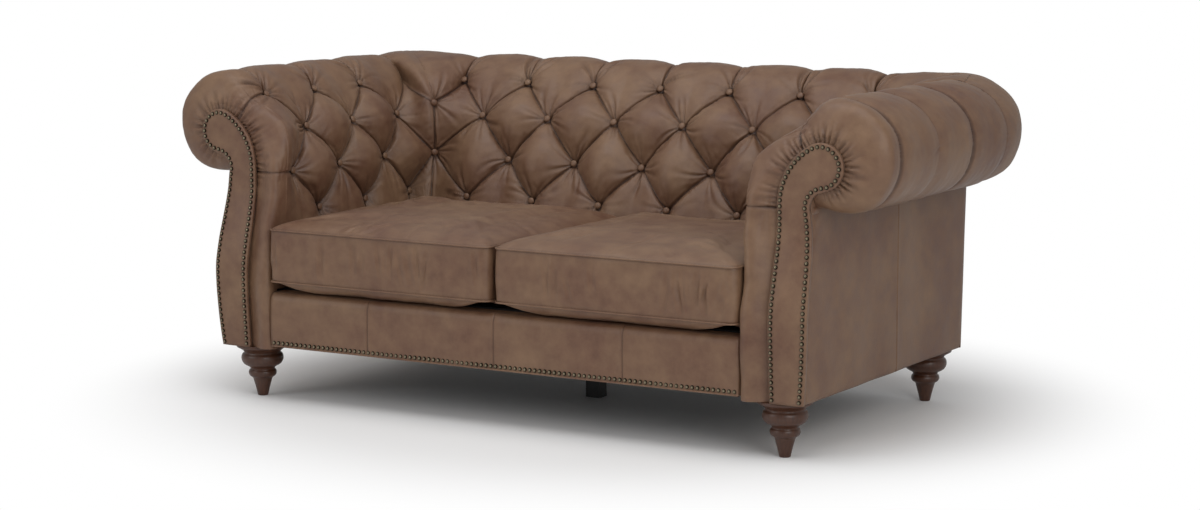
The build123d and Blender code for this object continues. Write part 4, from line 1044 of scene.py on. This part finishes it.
def boxed_faces(rows, columns):
    """Faces of a grid and of its two ends, and the faces that close it behind."""
    end = (rows - 1) * columns
    faces = grid_faces(rows, columns) + [tuple(range(columns))[::-1], tuple(range(end, end + columns))]
    return faces, [(k, k + columns, k + 2 * columns - 1, k + columns - 1) for k in range(0, end, columns)]


for side, way in SIDES:
    front, behind = boxed_faces(len(levels), len(line))
    points, faces = handed(facing_points, front + behind, way)
    facing = add_piece(f"scroll_facing_{side}", points, faces, leather)
    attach(facing, "frame")
    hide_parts(f"{side}_arm_facing")

# Nails: domed brass heads with an antique finish, hammered in nearly touching, along the facings
# and the bottom of the front rail.
# Antiqued brass: brown-black round the rim, rubbed to a dull yellow on the crown of each dome; the pale crown
# is also a painted highlight.
brass, tree, shader, place = material("antiqued_brass")
RUB_MM = 2.2
rub = noise(tree, place, RUB_MM, 3.0)
# The crown's pale yellow: rubbed brass and a painted highlight.
crown = node(tree, "ShaderNodeAttribute", attribute_name="rubbed_and_highlit").outputs["Fac"]
spread = node(tree, "ShaderNodeMapRange", {0: rub, 1: 0.3, 2: 0.7, 3: 0.55, 4: 1.0}).outputs[0]
worn_and_highlit = node(tree, "ShaderNodeMath", {0: crown, 1: spread}, operation="MULTIPLY").outputs[0]
tree.links.new(blend(tree, worn_and_highlit, "#15110d", "#9c9078"), shader.inputs["Base Color"])
shader.inputs["Metallic"].default_value = 1.0
shader.inputs["Roughness"].default_value = 0.3
NAIL_INSET, NAIL_PITCH = 8.5, 13.1
nail_profile = [(0, 0), (4.6, 0), (5.1, 0.4), (4.9, 1.2), (4.2, 2.2), (3.0, 3.0), (1.5, 3.45), (0, 3.6)]
nail_head = lathe(nail_profile, 14)
# Lighter towards the top of each dome: the rub of the brass and a painted highlight.
nail_rub_and_highlight = ramp(nail_head[0][:, 2], 2.7, 3.45)


def nail_row(name, places):
    """One object of nails; each place is a point and the way its head faces."""
    points, faces = studded([(at, unit(np.array(out, float))) for at, out in places], nail_head)
    made = add_piece(name, points, faces, brass)
    # Marks the crowns for the rubbed brass and its painted highlight.
    mark(made, "rubbed_and_highlit", np.tile(nail_rub_and_highlight, len(places)))
    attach(made, "frame")


def spaced(path, pitch):
    """Points along a path, one pitch apart."""
    step = lengths(path)
    count = int(step[-1] // pitch)
    stops = (step[-1] - count * pitch) / 2 + pitch * np.arange(count + 1)
    return np.column_stack([np.interp(stops, step, path[:, k]) for k in range(path.shape[1])])


for side, way in SIDES:
    places = []
    for x, z in spaced(np.concatenate(facing_edges(NAIL_INSET)), NAIL_PITCH):
        slope = (ogee(z + 2) - ogee(z - 2)) / 4
        places.append(((way * x, FACING_Y + ogee(z) - 1.0, z), (0, -1, slope)))
    nail_row(f"facing_nails_{side}", places)

# Front rail: a padded leather panel between the arm fronts, pieced from four hides with vertical seams,
# its bottom edge finished with a piped lip and a row of nails.
RAIL_HALF, RAIL_FRONT, RAIL_DEEP, RAIL_ROUND = 630.5, FACING_Y - 7.0, 53.0, 18.0
RAIL_LOW, RAIL_HIGH = 138.0, 268.0
RAIL_SEAMS = (-350.0, 0.0, 340.0)
RAIL_NAILS, RAIL_PIPING = 624.0, 2.6
rail_xs = np.concatenate([np.linspace(-RAIL_HALF, RAIL_HALF, 150)] + [s + STITCHED for s in RAIL_SEAMS])
rail_xs.sort()
section = [(RAIL_DEEP, RAIL_LOW), (4.0, RAIL_LOW), (1.5, RAIL_LOW + 0.8), (0.3, RAIL_LOW + 3.0)]
section += [(-0.6 - 1.4 * math.sin(math.pi * k / 19), RAIL_LOW + 6 + (RAIL_HIGH - RAIL_LOW - 24) * k / 19)
            for k in range(20)]
section += [(RAIL_ROUND - RAIL_ROUND * math.cos(a), RAIL_HIGH - RAIL_ROUND + RAIL_ROUND * math.sin(a))
            for a in np.linspace(0.12, math.pi / 2, 9)]
section += [(RAIL_DEEP, RAIL_HIGH)]
rail_points = np.array([(x, RAIL_FRONT + y, z) for x in rail_xs for y, z in section])
seam_gap = np.min(np.abs(rail_points[:, :1] - np.array(RAIL_SEAMS)), axis=1)
on_front = (rail_points[:, 1] < RAIL_FRONT + 20) & (rail_points[:, 2] > RAIL_LOW + 2)
proud = -1.8 * np.exp(-(seam_gap / 1.6) ** 2) + 0.8 * np.exp(-((seam_gap - 5) / 3) ** 2)
proud += 0.8 * ripple(rail_points * (1, 0, 0.8), 190.0, 41)
rail_points[:, 1] -= proud * on_front
front, behind = boxed_faces(len(rail_xs), len(section))
faces = [f[::-1] for f in front] + behind
rail = add_piece("front_rail_leather", rail_points, faces, leather)
# Painted shade along each seam's groove.
mark(rail, "drawn_in_tone_and_shade", 0.42 * np.exp(-(seam_gap / 1.8) ** 2))
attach(rail, "frame")
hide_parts("front_rail_cover")
nail_line = spaced(np.array([(-RAIL_NAILS, 0.0), (RAIL_NAILS, 0.0)]), NAIL_PITCH)
nail_row("front_rail_nails", [((x, RAIL_FRONT - 0.2, RAIL_LOW + 9.0), (0, -1, 0)) for x, _ in nail_line])


def tube(name, path, radius, surface, sides=10, closed=False):
    """A round welt along a path."""
    path = np.asarray(path, float)
    ahead = np.roll(path, -1, 0) - np.roll(path, 1, 0)
    if not closed:
        ahead[0], ahead[-1] = path[1] - path[0], path[-1] - path[-2]
    ahead /= np.linalg.norm(ahead, axis=1)[:, None]
    aside = np.cross(ahead, (0, 0, 1.0))
    aside /= np.maximum(np.linalg.norm(aside, axis=1), 1e-6)[:, None]
    over = np.cross(aside, ahead)
    angles = 2 * np.pi * np.arange(sides) / sides
    points = [p + radius * (side * math.cos(a) + top * math.sin(a))
              for p, side, top in zip(path, aside, over) for a in angles]
    faces = []
    for k in range(len(path) if closed else len(path) - 1):
        n = (k + 1) % len(path)
        for s in range(sides):
            e = (s + 1) % sides
            faces.append((k * sides + s, k * sides + e, n * sides + e, n * sides + s))
    if not closed:
        faces += [tuple(range(sides))[::-1], tuple((len(path) - 1) * sides + s for s in range(sides))]
    return add_piece(name, points, faces, surface)


lip_path = [(x, RAIL_FRONT + 1.5, RAIL_LOW + 1.2) for x in np.linspace(-630, 630, 90)]
lip = tube("front_rail_piping", lip_path, RAIL_PIPING, leather)
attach(lip, "frame")

# Loose seat cushions: foam wrapped in wadding inside a boxed leather case, crowned, with soft corners, an
# underside that hangs between them and a narrow piped seam round the top and the bottom of the border.
GAP_HALF, CUSHION_SIDE, CUSHION_FRONT, CUSHION_DEEP = 7.0, 628.0, -503.5, 616.0
SEAM_LOW, SEAM_HIGH, CROWN, BELLY = 296.0, 421.0, 28.35, 23.7
CUSHION_ROUND, CORNER_HANG = 22.0, 40.0
SWELL_SIDE, SWELL_UP, SWELL_BACK = 5.0, 9.0, 1.0     # how far the filling may move the case
REST = 272.4                         # the underside settles on the platform cloth
VOXEL_MM, SEWN_MM, WELT_R = 5.6, 5.5, 2.2
FILLING = {"quality": 5, "mass": 0.4, "use_pressure": True, "uniform_pressure_force": 4.0,
           "tension_stiffness": 20.0, "compression_stiffness": 20.0, "shear_stiffness": 12.0,
           "bending_stiffness": 1.5}
FILLING_FRAMES = 20
SIDE_CREASES, TOP_CREASES, TOP_RIM = 16, 30, 290
DRAG_FROM, DRAG_TURNS = (-330, 300), (-16, -28, -39, -49, -60, -71)


def rounded_rectangle(half_x, half_y, radius, side_steps=60, corner_steps=11):
    """Points round a rectangle with soft corners."""
    made = []
    for x, y, start in ((1, 1, 0.0), (-1, 1, 0.5), (-1, -1, 1.0), (1, -1, 1.5)):
        turn = np.pi * (start + np.linspace(0, 0.5, corner_steps))
        arc = radius * np.column_stack([np.cos(turn), np.sin(turn)])
        arc += (x * (half_x - radius), y * (half_y - radius))
        if made:
            made.append(np.linspace(made[-1][-1], arc[0], side_steps)[1:-1])
        made.append(arc)
    made.append(np.linspace(made[-1][-1], made[0][0], side_steps)[1:-1])
    return np.concatenate(made)


def cushion_shape():
    """A boxed case: rings from the bottom's middle, over the border, to the top's middle."""
    half = (CUSHION_SIDE - GAP_HALF) / 2, CUSHION_DEEP / 2
    outline = rounded_rectangle(*half, CUSHION_ROUND)
    hang = 1 - 0.85 * np.exp(-(np.linalg.norm(np.abs(outline) - half, axis=1) / CORNER_HANG) ** 2)
    level = np.ones(len(outline))
    inward = np.concatenate([np.linspace(0.03, 0.9, 32), np.linspace(0.91, 0.997, 16)])
    rings = [(s, SEAM_LOW - BELLY * (1 - s ** 26) ** 0.7 * hang) for s in inward]
    rings += [(1.0 + 0.006 * math.sin(math.pi * k), level * (SEAM_LOW + (SEAM_HIGH - SEAM_LOW) * k))
              for k in np.linspace(0, 1, 15)]
    rings += [(s, level * (SEAM_HIGH + CROWN * (1 - s ** 8.0) ** 0.8)) for s in inward[::-1]]
    points = [[(0, 0, rings[0][1].min())]] + [np.column_stack([outline * s, z]) for s, z in rings]
    points.append([(0, 0, rings[-1][1].max())])
    return np.concatenate(points), ring_faces(len(rings), len(outline)), outline


def fold(across, along, width, length, deep):
    """A soft fold: a valley with low shoulders across its run, fading out along it."""
    return -deep * crimp(across / width) * np.exp(-(along / length) ** 2)


def turned(offset, heading):
    """Distance of points along a heading and across it."""
    cos, sin = math.cos(heading), math.sin(heading)
    return offset @ np.array([cos, sin]), offset @ np.array([-sin, cos])


def places_of(piece):
    """Points of a piece in millimetres."""
    return np.array([v.co for v in piece.data.vertices]) / MM


def move(piece, points):
    """Puts a piece's points in new places, given in millimetres."""
    piece.data.vertices.foreach_set("co", (points * MM).astype(np.float32).ravel())
    piece.data.update()


middle_x = (GAP_HALF + CUSHION_SIDE) / 2
middle_y = CUSHION_FRONT + CUSHION_DEEP / 2
middle_z = (SEAM_LOW + SEAM_HIGH) / 2
for (side, way), seed in zip(SIDES, (51, 52)):
    centre = np.array([way * middle_x, middle_y, 0])
    shape, faces, outline = cushion_shape()
    cushion = add_piece(f"seat_cushion_{side}", shape + centre, faces, leather)
    welts = [np.column_stack([outline, np.full(len(outline), z)]) + centre for z in (SEAM_HIGH, SEAM_LOW)]
    groove = seeker(np.concatenate(welts))
    bpy.context.view_layer.objects.active = cushion
    remesh = cushion.modifiers.new("even_mesh", "REMESH")
    remesh.mode = "VOXEL"
    remesh.voxel_size = VOXEL_MM * MM
    bpy.ops.object.select_all(action="DESELECT")
    cushion.select_set(True)
    bpy.ops.object.modifier_apply(modifier="even_mesh")
    start = ended = places_of(cushion)
    sewn = cushion.vertex_groups.new(name="sewn_edges")
    sewn.add([k for k, p in enumerate(start) if groove.find(p)[2] < SEWN_MM], 1.0, "REPLACE")
    swell = cushion.modifiers.new("filling", "CLOTH")
    for name, value in FILLING.items():
        setattr(swell.settings, name, value)
    swell.settings.vertex_group_mass = "sewn_edges"
    swell.settings.effector_weights.gravity = 0.0
    for moment in range(1, FILLING_FRAMES + 1):
        bpy.context.scene.frame_set(moment)
    bpy.ops.object.modifier_apply(modifier="filling")
    bpy.context.scene.frame_set(1)
    ended = places_of(cushion)
    moved = ended - start
    moved[:, :2] = np.clip(moved[:, :2], -SWELL_SIDE, SWELL_SIDE)
    upper, lower = np.clip(moved[:, 2], -SWELL_BACK, SWELL_UP), np.clip(moved[:, 2], -SWELL_UP, SWELL_BACK)
    moved[:, 2] = np.where(start[:, 2] > middle_z, upper, lower)
    move(cushion, start + moved)
    fine = cushion.modifiers.new("fine", "SUBSURF")
    fine.levels = fine.render_levels = 1
    bpy.ops.object.modifier_apply(modifier="fine")
    points = places_of(cushion)
    normals = np.array([v.normal for v in cushion.data.vertices])
    rise = ripple(points, 230.0, seed) + 0.4 * ripple(points, 70.0, seed + 10)
    draw = np.random.default_rng(seed)
    local = points - centre
    height = points[:, 2] - middle_z
    border = np.exp(-(height / 52.0) ** 6)
    places = list(draw.uniform(-300, 300, 9))
    places += list(draw.normal(225, 36, 9) if way > 0 else draw.normal(60, 60, 6))
    for at in places:
        across = local[:, 0] - at - draw.uniform(-0.25, 0.25) * height
        crease = fold(across, height - draw.uniform(-22, 18), draw.uniform(4.0, 8.0), draw.uniform(22, 48),
                      draw.uniform(1.5, 4.0))
        rise += crease * border * (local[:, 1] < 0)
    for _ in range(SIDE_CREASES):
        across = local[:, 1] - draw.uniform(-280, 280) - draw.uniform(-0.25, 0.25) * height
        crease = fold(across, height - draw.uniform(-22, 18), draw.uniform(3.5, 7.0), draw.uniform(22, 48),
                      draw.uniform(0.5, 1.6))
        rise += crease * border * (local[:, 0] * draw.choice([-1, 1]) > 250)
    on_top = ramp(points[:, 2], SEAM_HIGH + 2, SEAM_HIGH + 10)
    for _ in range(TOP_CREASES):
        edge_angle = draw.uniform(-np.pi, np.pi)
        rim = TOP_RIM * np.array([math.cos(edge_angle), math.sin(edge_angle)]) * draw.uniform(0.8, 1.1)
        along, across = turned(local[:, :2] - rim, edge_angle + np.pi + draw.uniform(-0.5, 0.5))
        across = across - draw.uniform(-0.0016, 0.0016) * along ** 2
        length = draw.uniform(40, 100)
        along = along - 0.4 * length
        rise += fold(across, along, draw.uniform(5.0, 10.0), length, draw.uniform(0.5, 1.7)) * on_top
    if way < 0:      # the long drag lines from the left cushion's rear corner
        for heading in np.radians(DRAG_TURNS):
            along, across = turned(local[:, :2] - DRAG_FROM, heading)
            along = along - draw.uniform(230, 300)
            rise += fold(across, along, draw.uniform(11, 17), draw.uniform(70, 110), 4.0) * on_top
    near_seam = np.array([groove.find(p)[2] for p in points])
    points = points + normals * (rise * (1 - np.exp(-(near_seam / 9.0) ** 2)))[:, None]
    points[:, 2] = np.maximum(points[:, 2], REST)
    for face in cushion.data.polygons:
        face.use_smooth = True
    # Painted shade along the piped seams.
    mark(cushion, "drawn_in_tone_and_shade", 0.4 * np.exp(-(near_seam / 4.5) ** 2))
    move(cushion, points)
    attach(cushion, f"{side}_cushion")
    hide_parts(f"{side}_cushion_case")
    for label, path, shift in zip(("top", "bottom"), welts, (-0.6, 0.6)):
        path = centre + (path - centre) * (1.003, 1.003, 1) + (0, 0, shift)
        welt = tube(f"cushion_piping_{side}_{label}", path, WELT_R, leather, closed=True)
        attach(welt, f"{side}_cushion")

# Foam cores inside the cushions: cut from blocks of seat foam and pushed into the cases, which close
# them in on all sides.
# Open-cell foam: pale yellow, matt, full of fine pores.
foam, tree, shader, place = material("seat_foam")
PORE_MM = 1.6
pores = cells(tree, place, PORE_MM)
tree.links.new(blend(tree, pores, "#c9b98a", "#e6dab3"), shader.inputs["Base Color"])
shader.inputs["Roughness"].default_value = 0.95
dress(["right_cushion_foam", "left_cushion_foam"], foam)

# Studio: a white paper floor that runs out to white all round, a broad overhead light, one from the front
# right, a softer one from the front left and an even white surround.
FADE_START, FADE_END = 0.7, 1.26
floor_mesh = bpy.data.meshes.new("studio_floor")
floor_mesh.from_pydata([(-30, -30, 0), (30, -30, 0), (30, 30, 0), (-30, 30, 0)], [], [(0, 1, 2, 3)])
floor = bpy.data.objects.new("studio_floor", floor_mesh)
bpy.context.scene.collection.objects.link(floor)
# White paper: matt and plain, brightened to pure white away from the sofa, for the camera only.
paper, tree, shader, place = material("white_paper_floor")
shader.inputs["Base Color"].default_value = linear("#f4f4f4")
shader.inputs["Roughness"].default_value = 0.8
span = node(tree, "ShaderNodeMapping", {"Vector": place, "Scale": (0.92, 0.95, 1.0)}).outputs["Vector"]
far = node(tree, "ShaderNodeVectorMath", {0: span}, operation="LENGTH").outputs["Value"]
edge = node(tree, "ShaderNodeMapRange", {0: far, 1: FADE_START, 2: FADE_END},
            interpolation_type="SMOOTHSTEP").outputs[0]
camera_ray = node(tree, "ShaderNodeLightPath").outputs["Is Camera Ray"]
seen = node(tree, "ShaderNodeMath", {0: edge, 1: camera_ray}, operation="MULTIPLY").outputs[0]
glow = node(tree, "ShaderNodeEmission", {"Color": (1, 1, 1, 1), "Strength": 1.0}).outputs[0]
mixed = node(tree, "ShaderNodeMixShader", {0: seen, 1: shader.outputs[0], 2: glow}).outputs[0]
tree.links.new(mixed, tree.nodes["Material Output"].inputs["Surface"])
floor_mesh.materials.append(paper)

SURROUND = 0.42          # strength of the white surround as a light; the camera sees it as plain white
world = bpy.data.worlds.new("white_studio")
bpy.context.scene.world = world
world.use_nodes = True
sky = world.node_tree
camera_ray = node(sky, "ShaderNodeLightPath").outputs["Is Camera Ray"]
surround = sky.nodes["Background"]
surround.inputs["Color"].default_value = (1, 1, 1, 1)
strength = node(sky, "ShaderNodeMapRange", {0: camera_ray, 3: SURROUND, 4: 1.0}).outputs[0]
sky.links.new(strength, surround.inputs["Strength"])

for label, place, target, width, depth, power in (
        ("overhead", (0.0, -1.0, 3.4), (0, 0, 0.3), 3.8, 2.6, 57.0),
        ("front_right", (4.1, -3.0, 2.4), (0, 0, 0.4), 2.6, 2.2, 68.0),
        ("front_left", (-3.0, -4.4, 2.2), (0, 0, 0.4), 2.4, 2.0, 34.0)):
    lamp = bpy.data.lights.new(label, "AREA")
    lamp.shape = "RECTANGLE"
    lamp.size, lamp.size_y, lamp.energy = width, depth, power
    holder = bpy.data.objects.new(label, lamp)
    holder.location = place
    holder.rotation_euler = (Vector(target) - Vector(place)).to_track_quat("-Z", "Y").to_euler()
    bpy.context.scene.collection.objects.link(holder)

# Camera: a long lens to the right of the front, a little above the arms; its place and turn come from
# fitting the sofa's lines to those in the photograph.
camera = bpy.data.cameras.new("camera")
camera.sensor_width, camera.lens = 36.0, 84.75
camera.clip_start, camera.clip_end = 0.1, 200.0
eye = bpy.data.objects.new("camera", camera)
AZIMUTH, ELEVATION = math.radians(30.42), math.radians(8.04)
eye.location = (3.4295, -5.8511, 1.3015)
ground = math.cos(ELEVATION)
gaze = Vector((-math.sin(AZIMUTH) * ground, math.cos(AZIMUTH) * ground, -math.sin(ELEVATION)))
eye.rotation_euler = gaze.to_track_quat("-Z", "Y").to_euler()
bpy.context.scene.collection.objects.link(eye)
bpy.context.scene.camera = eye
bpy.context.scene.view_settings.view_transform = "Standard"
